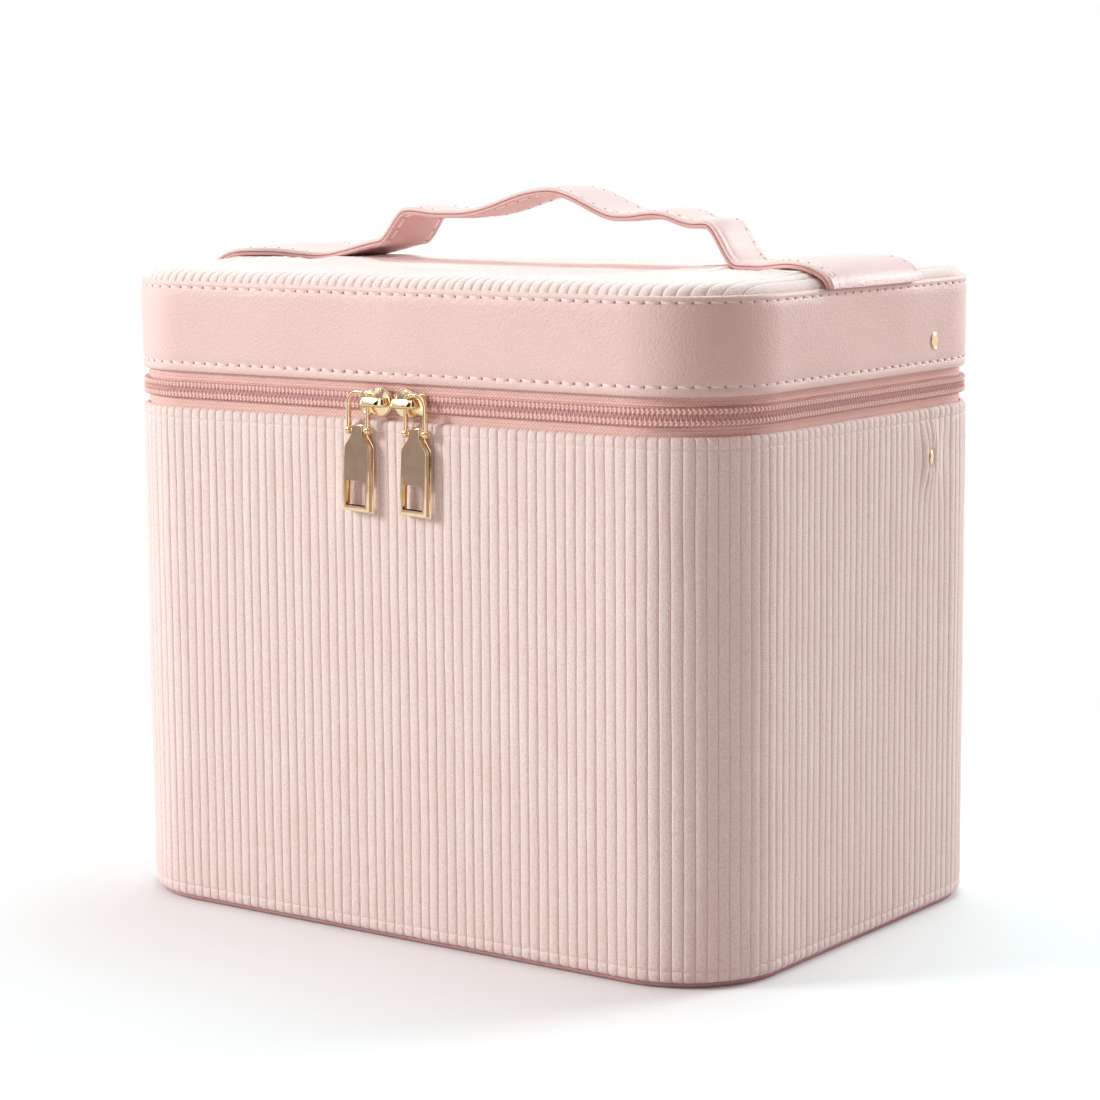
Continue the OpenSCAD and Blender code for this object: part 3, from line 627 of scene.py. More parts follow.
def body_corduroy():
    """Corduroy round the body: upright wales, two sewn hems and a pinch at each rivet."""
    columns, high = wale_columns(CASE_ROUND, round(CASE_ROUND / WALE))
    rows = [2.0, 2.2, 2.7, 3.5, 4.6, 5.4, 5.8, 6.2, 7.0, 8.5, 18, 36, 56, 76, 96, 114, 128, 137, 142, 145,
            147.3, 149.2, 151, 152.5, 153.7, 154.9, 156.4, 158.2, 160.2, 162.2, 164, 165.3, 165.8, 166.2,
            166.6, 167.3, 168.4, 169.1, 169.6, 170.0]
    tuck = {2.0: -1.3, 2.2: -0.8, 2.7: -0.35, 3.5: -0.08, 169.1: -0.12, 169.6: -0.45, 170.0: -1.15}
    section = [(-1.45, 2.0)] + [(tuck.get(z, 0.0), z) for z in rows] + [(-1.45, 170), (-1.45, 2.0)]
    wander, swell = wobble(3, 160, 40, CASE_ROUND), wobble(4, 500, 110, CASE_ROUND)
    obj, i, j = sheet_grid("body_corduroy", columns, np.arange(len(section)))
    section = np.array(section) * MM
    s, out, up = columns[i], section[j, 0], section[j, 1]
    rib, z = high[i], up / MM
    outer = ~np.isin(j, (0, len(section) - 2, len(section) - 1))
    # The cloth swells round each rivet and its wales gather towards it
    side = np.sign(CASE_ROUND / 2 - s)
    ds, dz = from_rivet(s, BODY_RIVET) / MM, z - BODY_RIVET[1] / MM
    r = np.hypot(ds, dz * 0.75)
    upper_hem, lower_hem = 166.2, 5.8
    seam = bump(z, upper_hem, 0.35) + bump(z, lower_hem, 0.35)
    rise = 0.35 * MM - RIB_DEEP * (1 - rib) + 0.1 * MM * swell(s, up)
    rise -= seam * 0.4 * MM * rib
    rise += 1.25 * MM * bump(r, 5, 3.4) * (1 - 0.35 * bump(ds, 0, 1.6))
    rise -= 0.35 * MM * bump(r, 0, 2.4)
    rise -= 0.45 * MM * bump(ds, 0.5, 1.1) * smoothstep((z - 156) / 4)
    # The stored rib height also sets the groove tone, so the pressed hems take the darker groove colour as
    # painted shade
    store(obj, "rib", np.where(outer, np.clip(rib - 0.25 * seam * rib, 0, 1), 0.5))
    pull = -0.5 * ds * bump(r, 0, 9) * side * MM
    edge = np.clip(np.minimum(s, CASE_ROUND - s) / (6 * MM), 0, 1)
    s = s + np.where(outer, pull + 0.14 * MM * wander(s, up) * edge, 0)
    p, n, b = case_at(s)
    place(obj, p + n * np.where(outer, out + rise, out)[:, None] + b * up[:, None])
    finished(sealed(obj), 60, CORDUROY, "case", ["body_cover"])
    return obj


# ---- Line of the strap ----

STRIP_T = 1.3 * MM
STRAP_T = 2 * STRIP_T + 0.05 * MM
STRAP_REST = DOME_TOP + 0.05 * MM + STRAP_T / 2
REST_X, FLARE_X, FLARE_END_X = CASE_W / 2 - 39 * MM, CASE_W / 2 - 38 * MM, CASE_W / 2 - 7 * MM
SLOPE = 12 * MM
TURN_W = 15 * MM
TURN_X = CASE_W / 2 + 0.05 * MM + STRAP_T / 2 - TURN_W
END_FOOT = BAND_TOP + 0.05 * MM


def strap_height(x):
    """Height of the strap's middle line."""
    left = 0.36 * smoothstep((x + REST_X + 7 * MM) / (32 * MM)) \
        + 0.64 * smoothstep((x + REST_X - 21 * MM) / SLOPE)
    right = 0.14 * smoothstep((REST_X - 20 * MM - x) / SLOPE) \
        + 0.86 * smoothstep((REST_X - 4 * MM - x) / SLOPE)
    off = x - 8 * MM
    hump = smoothstep(1 - np.abs(off) / np.where(off < 0, 40 * MM, 28 * MM))
    shoulder = smoothstep(1 - np.abs(np.abs(x) - REST_X + 36 * MM) / (11 * MM))
    lift = smoothstep((np.abs(x) - REST_X - 4 * MM) / (18 * MM))
    return STRAP_REST + (15.3 * left * right + 8.1 * hump + 0.9 * shoulder + 1.8 * lift) * MM


def strap_half(x):
    """Half of the strap's width, which flares towards the ends."""
    return 12.5 * MM + 16 * MM * smoothstep((np.abs(x) - FLARE_X) / (FLARE_END_X - FLARE_X))


# ---- Corduroy of the lid's padded top ----

def strap_swell(x, y, inside):
    """How far the padding swells under the strap's ends and beside them."""
    room = np.clip(strap_height(x) - STRAP_T / 2 - DOME_TOP - 0.12 * MM, 0, None)
    beyond = np.abs(y) - strap_half(x)
    under = np.minimum(room, 1.4 * MM)
    beside = np.minimum(room, 1.1 * MM) + 0.75 * MM
    outside = smoothstep((beyond - 0.2 * MM) / (1.6 * MM))
    rise = under + (beside * np.exp(-np.maximum(beyond, 0) / (9 * MM)) - under) * outside
    along = smoothstep((np.abs(x) - 58 * MM) / (14 * MM)) * np.clip((125 * MM - np.abs(x)) / (9 * MM), 0, 1)
    return rise * along * smoothstep(inside / (9 * MM))


def lid_corduroy():
    """Corduroy of the lid: a rolled edge, and a crown that swells at the strap's ends."""
    inset, wales = 1.1 * MM, 68
    half_w, half_d, r = CASE_W / 2 - inset, CASE_D / 2 - inset, CORNER_R - inset
    turns, high = wale_columns(2 * half_w, wales)
    columns = turns - half_w
    # Rows and heights of the rolled edge, then rows over the crown and beside the strap
    edge_in = [0, 0.35, 0.9, 1.7, 2.7, 4.0, 5.6, 7.6, 10.5]
    edge_up = [211.2, 212.35, 213.35, 214.25, 214.9, 215.4, 215.75, 215.95, 216.02]
    steps = np.array(edge_in + [15, 24, 38, 50, 55, 58, 60.5, 62.5, 64.5, 67, 70, 74, 78, 83]) * MM
    share = np.concatenate([steps / half_d, [1.0], 2 - steps[::-1] / half_d]) - 1
    face, i, j = sheet_grid("lid_corduroy", columns, share)
    x = columns[i]
    cut = np.clip(np.abs(x) - (half_w - r), 0, r)
    y = share[j] * (half_d - r + np.sqrt(np.maximum(r * r - cut * cut, 0)))
    # Distance in from the outline
    qx, qy = np.abs(x) - (half_w - r), np.abs(y) - (half_d - r)
    corner = np.hypot(np.maximum(qx, 0), np.maximum(qy, 0))
    inside = np.where((qx > 0) & (qy > 0), r - corner, np.minimum(half_w - np.abs(x), half_d - np.abs(y)))
    inside = np.clip(inside, 0, None)
    z = np.interp(inside, np.array(edge_in + [90]) * MM, np.array(edge_up + [216.1]) * MM)
    z += strap_swell(x, y, inside)
    rib, lift = high[i], wobble(8, 90, 60)
    steep = np.clip(1 - inside / (4 * MM), 0, 1)
    fall = (0.6 + 0.4 * np.exp(-inside / (16 * MM))) * MM * (1 - rib)
    shift = table(-np.sign(x) * np.where(qx >= qy, 1, 0), -np.sign(y) * np.where(qy > qx, 1, 0))
    co = table(x, y, z - fall * (1 - 0.3 * steep) + 0.1 * MM * lift(x, y))
    co[:, :2] += shift * (fall * 0.8 * steep)[:, None]
    place(face, co)
    # Painted shade: on the flat crown the stored rib is pulled down, which widens the darker groove tone into
    # lines along the wales
    store(face, "rib", rib * 1.1 - 0.12)
    back, i, j = sheet_grid("lid_corduroy_back", columns, share)
    rim = (i == 0) | (i == len(columns) - 1) | (j == 0) | (j == len(share) - 1)
    place(back, np.where(rim[:, None], co, table(x, y, z - 1.5 * MM)))
    store(back, "rib", rib)
    obj = sealed(join("lid_corduroy", [face, back]))
    finished(obj, 60, CORDUROY, "lid", ["lid_top_cover"])
    return obj


# ---- Leather band of the lid ----

STITCH_COUNT = round(CASE_ROUND / STITCH)
BAND_PITCH = CASE_ROUND / STITCH_COUNT
UPPER_ROW, LOWER_ROW = 210.1 * MM, 185.0 * MM


def lid_band():
    """Leather band round the lid, with a channel under each of its two rows of stitches."""
    section = np.array([
        (-1.4, 182.4), (-0.9, 182.0), (-0.4, 182.05), (-0.08, 182.45), (0.04, 183.2), (0.04, 184.3),
        (0.0, 184.75), (-0.02, 185.0), (0.0, 185.25), (0.05, 185.8), (0.1, 188), (0.13, 192), (0.14, 197),
        (0.13, 202), (0.1, 207), (0.05, 209.3), (0.0, 209.85), (-0.02, 210.1), (0.0, 210.35),
        (0.03, 210.8), (-0.02, 211.4), (-0.25, 211.9), (-0.7, 212.15), (-1.15, 212.0), (-1.4, 211.6),
    ]) * MM
    swell = wobble(11, 90, 90, CASE_ROUND)

    def relief(s, out, up):
        turn = np.mod(s, BAND_PITCH) / BAND_PITCH - 0.5
        at_hole = bump(turn, 0.5, 0.2) + bump(turn, -0.5, 0.2)
        row = bump(up, UPPER_ROW, 0.35 * MM) + bump(up, LOWER_ROW, 0.35 * MM)
        soft = np.clip((up - 182.5 * MM) / (3 * MM), 0, 1) * np.clip((211.5 * MM - up) / (3 * MM), 0, 1)
        press = bump(np.hypot(from_rivet(s, LID_RIVET), up - LID_RIVET[1]), 0, 4.2 * MM)
        out = out - row * (0.14 + 0.16 * at_hole) * MM + 0.12 * MM * soft * swell(s, up)
        return s, out - 0.3 * MM * press, up

    columns = np.linspace(0, CASE_ROUND, STITCH_COUNT * 4 + 1)
    obj = sweep("lid_band_leather", columns, section, case_at, relief)
    finished(obj, 60, PU, "lid", ["lid_band"])
    return obj


# ---- Stitches ----

def ball(radius, segments, ring_count, **settings):
    """A sphere with few faces, for a small piece."""
    return primitive(bpy.ops.mesh.primitive_uv_sphere_add, segments=segments, ring_count=ring_count,
                     radius=radius, **settings)


def stitch(length, radius, slant):
    """One stitch: a capsule along X, leaning a little."""
    obj = ball(radius, 8, 5, rotation=(0, math.pi / 2, 0))
    co = coords(obj)
    co[:, 0] += np.sign(co[:, 0]) * (length / 2 - radius)
    co[:, 1] *= 0.75
    co[:, 2] += co[:, 0] * slant
    co[:, 1] -= (2 * co[:, 0] / length) ** 2 * radius * 0.8
    return place(obj, co)


def in_row(obj, name, at, count, step, mat, body, start=0.0):
    """A row of small pieces along a path."""
    repeat(obj, count, step)
    bend(obj, at, start)
    return finished(named(obj, name), 80, mat, body)


def sewn(words, at, length, pitch, body, holes=None, up=0.0):
    """A row of stitches along a path and, where their depth is given, dark discs between them as painted
    shade of the needle holes. The star in the words stands for what the row is made of."""
    count = max(1, round(length / pitch))
    step = length / count
    obj = stitch(step * 0.82, 0.52 * MM, 0.15)
    place(obj, coords(obj) + (step / 2, 0, up))
    in_row(obj, words.replace("*", "stitches"), at, count, step, THREAD, body)
    if holes is not None:
        # Painted shade: a flat dark disc sunk into the leather stands for the shade inside each needle hole
        obj = ball(0.42 * MM, 8, 4)
        place(obj, coords(obj) * (0.8, 0.28, 1.15) + (0, holes, up))
        in_row(obj, words.replace("*", "holes"), at, count + 1, step, NEEDLE_HOLE_SHADE, body)


# ---- Strap ----

def strap_skew(x, y):
    """How far the strap's rear edge bends nearer the middle than its front edge."""
    return np.sign(x) * 2.8 * MM * smoothstep((y + 4 * MM) / (17 * MM)) * bump(np.abs(x), 74 * MM, 17 * MM)


def strap_line():
    """The points of the strap's middle line, from one sewn end over to the other."""
    turn_h = strap_height(np.array([TURN_X]))[0] - END_FOOT
    x = np.linspace(-TURN_X, TURN_X, 170)
    a = np.radians(np.arange(0, 90, 7.5))
    left = table(-TURN_X - TURN_W * np.cos(a), END_FOOT + turn_h * np.sin(a))
    return np.vstack([left, table(x, strap_height(x)), left[::-1] * (-1, 1)])


LINE = strap_line()
LINE_DIR = np.gradient(LINE, axis=0)
LINE_DIR[0], LINE_DIR[-1] = (0, 1), (0, -1)
LINE_DIR /= np.linalg.norm(LINE_DIR, axis=1)[:, None]
LINE_OUT = table(-LINE_DIR[:, 1], LINE_DIR[:, 0])


def strap_layer(name, low, high, crown, mat, replaces):
    """One layer of the strap: folded edges, a crowned middle and a channel under each row of stitches."""
    half_across = np.array([0.25, 0.5, 0.68, 0.75, 0.79, 0.84, 0.9, 0.95, 0.985, 1])
    across = np.concatenate([-half_across[::-1], [0], half_across])
    mid, thick = (low + high) / 2, high - low
    swell = wobble(21, 135, 180)
    rows = []
    for point, outward in zip(LINE, LINE_OUT):
        y = across * strap_half(point[0])
        edge = (1 - np.abs(across)) * strap_half(point[0])
        roll = edge_roll(edge, 0.75 * MM) * thick / 2
        puff = crown * (1 - across ** 2) - 0.28 * MM * bump(edge, 2.6 * MM, 0.7 * MM) * np.sign(crown)
        wave = mid + 0.14 * MM * swell(point[0], y)
        upper = wave + roll + (puff if crown > 0 else 0)
        lower = wave - roll + (puff if crown < 0 else 0)
        ring_y = np.concatenate([y, y[::-1][1:-1]])
        base = point + np.concatenate([upper, lower[::-1][1:-1]])[:, None] * outward
        rows.append(table(base[:, 0] - strap_skew(base[:, 0], ring_y), ring_y, base[:, 1]))
    return finished(skin(name, rows), 60, mat, "lid", replaces)


def strap_row(side, inset, off, first=0, last=None):
    """The path of a row of stitches along the strap, at a distance in from one edge."""
    part = slice(first, last)
    x = LINE[part, 0]
    y = side * (strap_half(x) - inset)
    base = LINE[part] + off * LINE_OUT[part]
    points = table(base[:, 0] - strap_skew(base[:, 0], y), y, base[:, 1])
    out = table(LINE_OUT[part, 0], np.zeros(len(x)), LINE_OUT[part, 1]) * np.sign(off)
    return line_path(points, out)


def strap():
    """Both layers of the strap, and its rows of stitches."""
    strap_layer("strap_top_leather", 0.05 * MM, STRAP_T / 2, 0.35 * MM, STRAP_PU, ["strap_top_strip"])
    strap_layer("strap_under_leather", -STRAP_T / 2, -0.05 * MM, -0.2 * MM, PU_UNDER, ["strap_under_strip"])
    for side, word in ((-1, "front"), (1, "rear")):
        for off, layer in ((STRAP_T / 2, "top"), (-STRAP_T / 2, "under")):
            at, length = strap_row(side, 2.6 * MM, off, 3, -3)
            sewn("strap_*_%s_%s" % (layer, word), at, length, STITCH, "lid", -0.03 * MM)
        for end, part in (("left", (3, 24)), ("right", (-24, -3))):
            at, length = strap_row(side, 5.4 * MM, STRAP_T / 2 + 0.1 * MM, *part)
            sewn("strap_flare_*_%s_%s" % (end, word), at, length, STITCH, "lid")


# ---- Zip ----

ZIP_START = BACK_HALF - 5.2 * MM
ZIP_LEN = CASE_ROUND - 2 * ZIP_START


def along_zip(name, section, beyond=0.0, relief=None):
    """A section swept along the zip."""
    start = ZIP_START - beyond
    columns = np.linspace(start, CASE_ROUND - start, 460)
    return sweep(name, columns, section, case_at, relief, closed_path=False)


def zip_tape(name, z0, z1, body, replaces):
    """One half of the zip's tape."""
    up = np.linspace(z0, z1, 7)
    section = [(-1.9 * MM, z) for z in up] + [(-2.6 * MM, z) for z in up[::-1]]
    swell = wobble(31, 240, 240)
    obj = along_zip(name, section, 4 * MM, lambda s, out, up: (s, out + 0.06 * MM * swell(s, up), up))
    return finished(obj, 50, TAPE, body, replaces)


def coil_loop(height):
    """One loop of the coil: an upright rounded bar with a broad foot and a narrow head."""
    obj = ball(1, 10, 7)
    co = coords(obj)
    head = co[:, 2] > 0
    co *= table(np.where(head, 0.39, 0.79), np.full(len(co), 0.55), np.full(len(co), 0.42)) * MM
    co[:, 2] += np.where(head, height - 0.42 * MM, 0.42 * MM)
    return place(obj, co)


def chain_stitch():
    """One stitch of the zip's chain seam: two slanting threads that meet in a point."""
    arms = []
    for up in (1, -1):
        arm = ball(0.32 * MM, 6, 4, rotation=(0, math.pi / 2, 0))
        co = coords(arm)
        co[:, 0] += np.sign(co[:, 0]) * 0.2 * MM + 0.55 * MM
        co[:, 2] += up * (0.06 * MM + 0.48 * co[:, 0])
        arms.append(place(arm, co))
    return join("chain_stitch", arms)


def zip_half(name, body, up, phase, replaces):
    """Half of the zip's chain: a comb of loops, its strand and the row of thread that sews it down."""
    count = int(ZIP_LEN / COIL_PITCH) - 1
    start = ZIP_START + phase * COIL_PITCH
    loops = coil_loop(3.4 * MM)
    place(loops, coords(loops) * (1, 1, up) + (COIL_PITCH / 2, -0.7 * MM, ZIP_Z - up * 2.8 * MM))
    repeat(loops, count, COIL_PITCH)
    store(loops, "run", coords(loops)[:, 0])
    bend(loops, case_at, start)
    section = [(-0.9, 2.7), (-0.4, 2.3), (-0.3, 1.7), (-0.4, 1.1), (-0.8, 0.15), (-1.6, 0.15), (-1.7, 2.6)]
    strand = along_zip(name + "_strand", [(out * MM, ZIP_Z - up * z * MM) for out, z in section])
    obj = join(name, [loops, strand])
    in_edit(obj, normals_out)
    finished(obj, 80, COIL, body, replaces)
    # The pale stitch lobes are painted highlight of the thread; the salmon cord under them holds its shaded
    # part
    seam = chain_stitch()
    place(seam, coords(seam) + (0, -0.16 * MM, ZIP_Z - up * 1.72 * MM))
    in_row(seam, name + "_seam", case_at, count, COIL_PITCH, COIL_THREAD_AND_HIGHLIGHT, body, start)
    a = around(45)
    # The first cord lies under the chain stitches, salmon with painted shade; the other two are cords of the
    # tape
    for k, (z, out, thick, tall, mat) in enumerate(((1.72, -0.4, 0.3, 0.74, CHAIN_CORD_AND_SHADE),
                                                    (3.3, -1.85, 0.16, 0.22, TAPE),
                                                    (4.4, -1.85, 0.16, 0.22, TAPE))):
        cord = table(out + thick * np.cos(a), (ZIP_Z / MM - up * z) + tall * np.sin(a)) * MM
        finished(along_zip("%s_cord_%d" % (name, k), cord), 80, mat, body)


def zip_closure():
    """Both halves of the zip. The lid's loops lie half a pitch on, so that the two halves mesh."""
    zip_tape("body_tape", 164.2 * MM, 175.3 * MM, "case", ["body_zip_tape"])
    zip_tape("lid_tape", 176.7 * MM, 187.8 * MM, "lid", ["lid_zip_tape"])
    zip_half("body_chain", "case", 1, 0.0, ["body_zip_coil"])
    zip_half("lid_chain", "lid", -1, 0.5, ["lid_zip_coil"])


# ---- Metal hardware ----

def polished(node, body, mat, width):
    """A copy of a CAD node with its edges broken, as plating leaves them."""
    source = frame["nodes"][node]
    obj = source.copy()
    obj.data = source.data.copy()
    obj.parent = None
    obj.matrix_world = Matrix.Identity(4)
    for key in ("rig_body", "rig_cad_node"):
        if key in obj:
            del obj[key]
    bpy.context.scene.collection.objects.link(obj)
    named(obj, node + "_polished")
    in_edit(obj, merge(0.001 * MM), lambda: bpy.ops.mesh.dissolve_limited(angle_limit=math.radians(1.5)))
    bevel(obj, 35, width=width, segments=2, use_clamp_overlap=True)
    smooth(obj, 50)
    modify(obj, "WEIGHTED_NORMAL", keep_sharp=True)
    return finished(obj, None, mat, body, [node])


def bevel(obj, angle, **settings):
    """Rounds the edges that are sharper than an angle."""
    return modify(obj, "BEVEL", limit_method="ANGLE", angle_limit=math.radians(angle), **settings)


# Work on the sliders is drawn for the left one in millimetres from its nose: -X to the tail, -Y outwards
MEET_X, NOSE_GAP, FRONT_Y = 3.0, 0.6, -89.0
RING_OUT, RING_IN, RING_W, PIN_DROP = 3.05, {"left": 8.2, "right": 6.6}, 7.8, 9.2
LOCK_X = {"left": 3.4, "right": 9.2}


def at_slider(obj, side):
    """Moves work that is drawn from a slider's nose to its place on the case."""
    turn = 1 if side == "left" else -1
    place(obj, (coords(obj) * (turn, 1, 1) + (MEET_X - turn * NOSE_GAP / 2, FRONT_Y, ZIP_Z / MM)) * MM)
    return in_edit(obj, merge(0.002 * MM), normals_out)


def plated(obj, node, side, angle, body):
    """Moves a piece to its slider and gives it its plating."""
    node = f"{node}_{side}"
    at_slider(named(obj, node + "_plated"), side)
    finished(obj, angle, GOLD, "%s_%s" % (body, side), [node])


def leaf_outline():
    """Outline of a slider's plate: round nose, waist and a narrower tail."""
    a = np.radians(np.linspace(-90, 90, 25))
    nose = table(4.8 * np.cos(a) - 4.8, 4.8 * np.sin(a))
    t = np.linspace(0, 1, 9)[1:]
    waist = table(-4.8 - 5.0 * t, 4.8 - 1.3 * smoothstep(t))
    tail = [(-11.6, 3.55), (-12.5, 3.5), (-12.9, 3.1), (-13.0, 2.4)]
    upper = np.vstack([waist, tail])
    return np.vstack([nose, upper, upper[::-1] * (1, -1)])


def leaf(levels):
    """A plate with the slider's outline: each level is a share of the outline and a distance outwards."""
    outline = leaf_outline() - (-6.2, 0)
    return skin("leaf", [table(outline[:, 0] * share - 6.2, np.full(len(outline), -out),
                               outline[:, 1] * share) for share, out in levels])


def block(low, high, unit=1):
    """A box between two corners."""
    low, high = np.array(low, float) * unit, np.array(high, float) * unit
    return primitive(bpy.ops.mesh.primitive_cube_add, size=1, location=(low + high) / 2, scale=high - low)


def cut_out(obj, low, high):
    """Cuts a box out of a piece."""
    tool = block(low, high)
    modify(obj, "BOOLEAN", object=tool, operation="DIFFERENCE", solver="EXACT")
    bpy.data.objects.remove(tool)


def superellipse(half_a, half_b, power, a):
    """Points at these angles round a squared ellipse. A power of 2 makes it a plain one."""
    c, d = np.cos(a), np.sin(a)
    return table(half_a * np.sign(c) * np.abs(c) ** (2 / power),
                 half_b * np.sign(d) * np.abs(d) ** (2 / power))


def bar_along(name, points, section, count):
    """A bar swept along a curve that lies in a plane."""
    points = np.asarray(points, float)
    tangent = np.gradient(points, axis=0)
    flat = np.cross(points[1] - points[0], points[len(points) // 2] - points[0])
    at, length = line_path(points, np.cross(tangent, flat))
    return sweep(name, np.linspace(0, length, count), section, at, closed_path=False)


def slider_piece(side):
    """A slider: domed leaf plate with a rolled rim, arched bridge with its lock hole, post and rear plate."""
    front = leaf([(1, 0.35), (1, 0.9), (0.985, 1.14), (0.955, 1.25), (0.92, 1.2), (0.88, 1.27), (0.7, 1.55),
                  (0.45, 1.8), (0.2, 1.92), (0, 1.95)])
    rear = leaf([(0.9, -3.05), (0.9, -3.85), (0.87, -4.05), (0.6, -4.1), (0, -4.1)])
    arch = superellipse(4.8, 3.45, 5, np.radians(np.linspace(0, 180, 49)))
    roof = [(-0.5, 1.35), (-0.42, 1.45), (-0.3, 1.42), (0.45, -0.35), (0.5, -0.6), (0.42, -0.85),
            (0.05, -1.4), (-0.1, -1.45), (-0.5, -1.4)]
    bridge = bar_along("bridge", table(arch[:, 0] - 5.95, -1.2 - np.abs(arch[:, 1]), 0 * arch[:, 0]),
                       roof, 40)
    lock = -LOCK_X[side]
    cut_out(bridge, (lock - 0.7, -6, -0.65), (lock + 0.7, -4.3, 0.65))
    post = block((-3.2, -1.1, -0.4), (-1.0, 3.4, 0.4))
    plated(join("slider", [front, rear, bridge, post]), "slider", side, 40, "slider")
    # The pin fills the lock hole with near-black metal: painted shade of the hole's depth
    pin = block((lock - 0.66, -4.6, -0.61), (lock + 0.66, -4.2, 0.61))
    at_slider(named(pin, "lock_pin_painted_shade_" + side), side)
    modify(pin, "BEVEL", width=0.05 * MM, segments=2)
    finished(pin, 40, LOCK_HOLE_SHADE, "slider_" + side)


def ring_piece(side):
    """A ring: a bar bent over the bridge's foot, with an eye at the end of each leg."""
    r, top_z, inner_z, outer_z = RING_W / 2, 2.9, 0.15, -1.0
    # The inner bend is the squarer one, so that the ring swings free of the bridge
    inner = superellipse(r, top_z - inner_z, 2.9, np.radians(np.arange(0, 95, 5))) + (0, inner_z)
    outer = superellipse(r, top_z - outer_z, 2, np.radians(np.arange(95, 185, 5))) + (0, outer_z)
    legs = [table(np.full(7, x), np.linspace(z, -PIN_DROP, 8)[1:])
            for x, z in ((r, inner_z), (-r, outer_z))]
    bends = np.vstack([legs[0][::-1], inner, outer, legs[1]])
    path = table(bends[:, 0] - RING_IN[side] - r, np.full(len(bends), -RING_OUT), bends[:, 1])
    pieces = [bar_along("ring_bar", path, superellipse(0.68, 0.8, 3.2, around(15)), 70)]
    for x in (r, -r):
        eye = primitive(bpy.ops.mesh.primitive_cylinder_add, vertices=28, radius=1.4, depth=1.4,
                        rotation=(0, math.pi / 2, 0), location=(x - RING_IN[side] - r, -RING_OUT, -PIN_DROP))
        pieces.append(modify(eye, "BEVEL", width=0.25, segments=3, limit_method="ANGLE"))
    plated(join("ring", pieces), "ring", side, 50, "ring")


def tab_piece(side):
    """A pull tab: a waisted plate with a window and broad polished bevels."""
    outline = [(2.2, -1.2), (2.2, 1.0), (1.6, 1.6), (-1.6, 1.6), (-2.2, 1.0), (-2.2, -1.2), (-3.0, -2.6),
               (-4.7, -4.9), (-5.0, -5.8), (-5.4, -26.1), (5.4, -26.1), (5.0, -5.8), (4.7, -4.9), (3.0, -2.6)]
    piece = primitive(bpy.ops.mesh.primitive_circle_add, vertices=len(outline), fill_type="NGON")
    place(piece, [(x, -1.05, z) for x, z in outline])
    in_edit(piece, lambda: bpy.ops.mesh.extrude_region_move(TRANSFORM_OT_translate={"value": (0, 2.1, 0)}),
            normals_out)
    # Stretched while it is bevelled, so the bevels lie at a low angle to the face
    stretch = 2.4
    place(piece, coords(piece) * (1, stretch, 1))
    bevel(piece, 40, width=0.55, segments=2)
    place(piece, coords(piece) * (1, 1 / stretch, 1))
    cut_out(piece, (-3.9, -3, -24.3), (3.9, 3, -16.3))
    bevel(piece, 60, width=0.28, segments=2)
    lean = math.radians(2.2) * (1 if side == "left" else -1)
    x, y, z = coords(piece).T
    place(piece, table(x * math.cos(lean) + z * math.sin(lean) - RING_IN[side] - RING_W / 2, y - RING_OUT,
                       z * math.cos(lean) - x * math.sin(lean) - PIN_DROP))
    plated(piece, "tab", side, 25, "tab")


def turned(profile, step):
    """Rings about X from (x, radius) points."""
    a = around(step)
    return np.array([table(np.full(len(a), x), r * np.cos(a), r * np.sin(a)) for x, r in profile])


def tab_pin_piece(side):
    """The pin through the ring's eyes and the tab, with a hollow head at each end."""
    half = [(4.65, 0.6), (4.65, 1.1), (4.85, 1.12), (5.08, 0.9), (5.06, 0.62), (4.8, 0.46), (4.3, 0.44),
            (4.3, 0.0)]
    profile = [(-x, r) for x, r in half[::-1]] + half
    rings = turned(profile, 15) + (-RING_IN[side] - RING_W / 2, -RING_OUT, -PIN_DROP)
    plated(skin("tab_pin", rings), "tab_pin", side, 40, "tab")


def rivet(kind, side, body, mid, out, turn):
    """A rivet's shank, and its thin domed head with a rolled rim, which leans a little in the cover."""
    profile = [(-0.9, 2.5), (-0.1, 2.85), (0.1, 2.95), (0.24, 2.88), (0.27, 2.7), (0.1, 2.48), (0.28, 2.1),
               (0.42, 1.4), (0.49, 0.7), (0.51, 0)]
    rings = turned(profile, 12)
    rings[:, :, 0] -= rings[:, :, 1] * math.tan(math.radians(turn))
    rings = rings * MM + (CASE_W / 2 + out, mid[0], mid[1])
    if side == "left":
        rings[:, :, 0] *= -1
    finished(skin("%s_rivet_head_%s" % (kind, side), rings), 40, GOLD, body)
    shank = polished("%s_rivet_%s" % (kind, side), body, GOLD, 0.1 * MM)
    co = coords(shank)
    reach = CASE_W / 2 - 0.5 * MM
    co[:, 0] = np.clip(co[:, 0], -reach, reach)
    place(shank, co)


def hardware():
    """Sliders, rings, tabs, rivets and stays, on both sides."""
    for side in ("left", "right"):
        slider_piece(side)
        ring_piece(side)
        tab_piece(side)
        tab_pin_piece(side)
        rivet("body", side, "case", BODY_RIVET, 0.95 * MM, 15)
        rivet("lid", side, "lid", LID_RIVET, -0.12 * MM, 6)
        for node, body, width in (("stay_lower_", "stay_lower_", 0.2), ("stay_upper_", "stay_upper_", 0.2),
                                  ("stay_pin_", "stay_lower_", 0.1)):
            polished(node + side, body + side, STAY_GOLD, width * MM)


# ---- Inside ----

def shell(name, rows, count, mat, body, replaces, relief=None, closed_section=False,
          path=(case_at, CASE_ROUND)):
    """A piece round an outline, swept from a section of (outward, up) points in millimetres."""
    at, length = path
    obj = sweep(name, np.linspace(0, length, count + 1), np.array(rows) * MM, at, relief,
                closed_section=closed_section)
    return finished(obj, 50, mat, body, replaces)


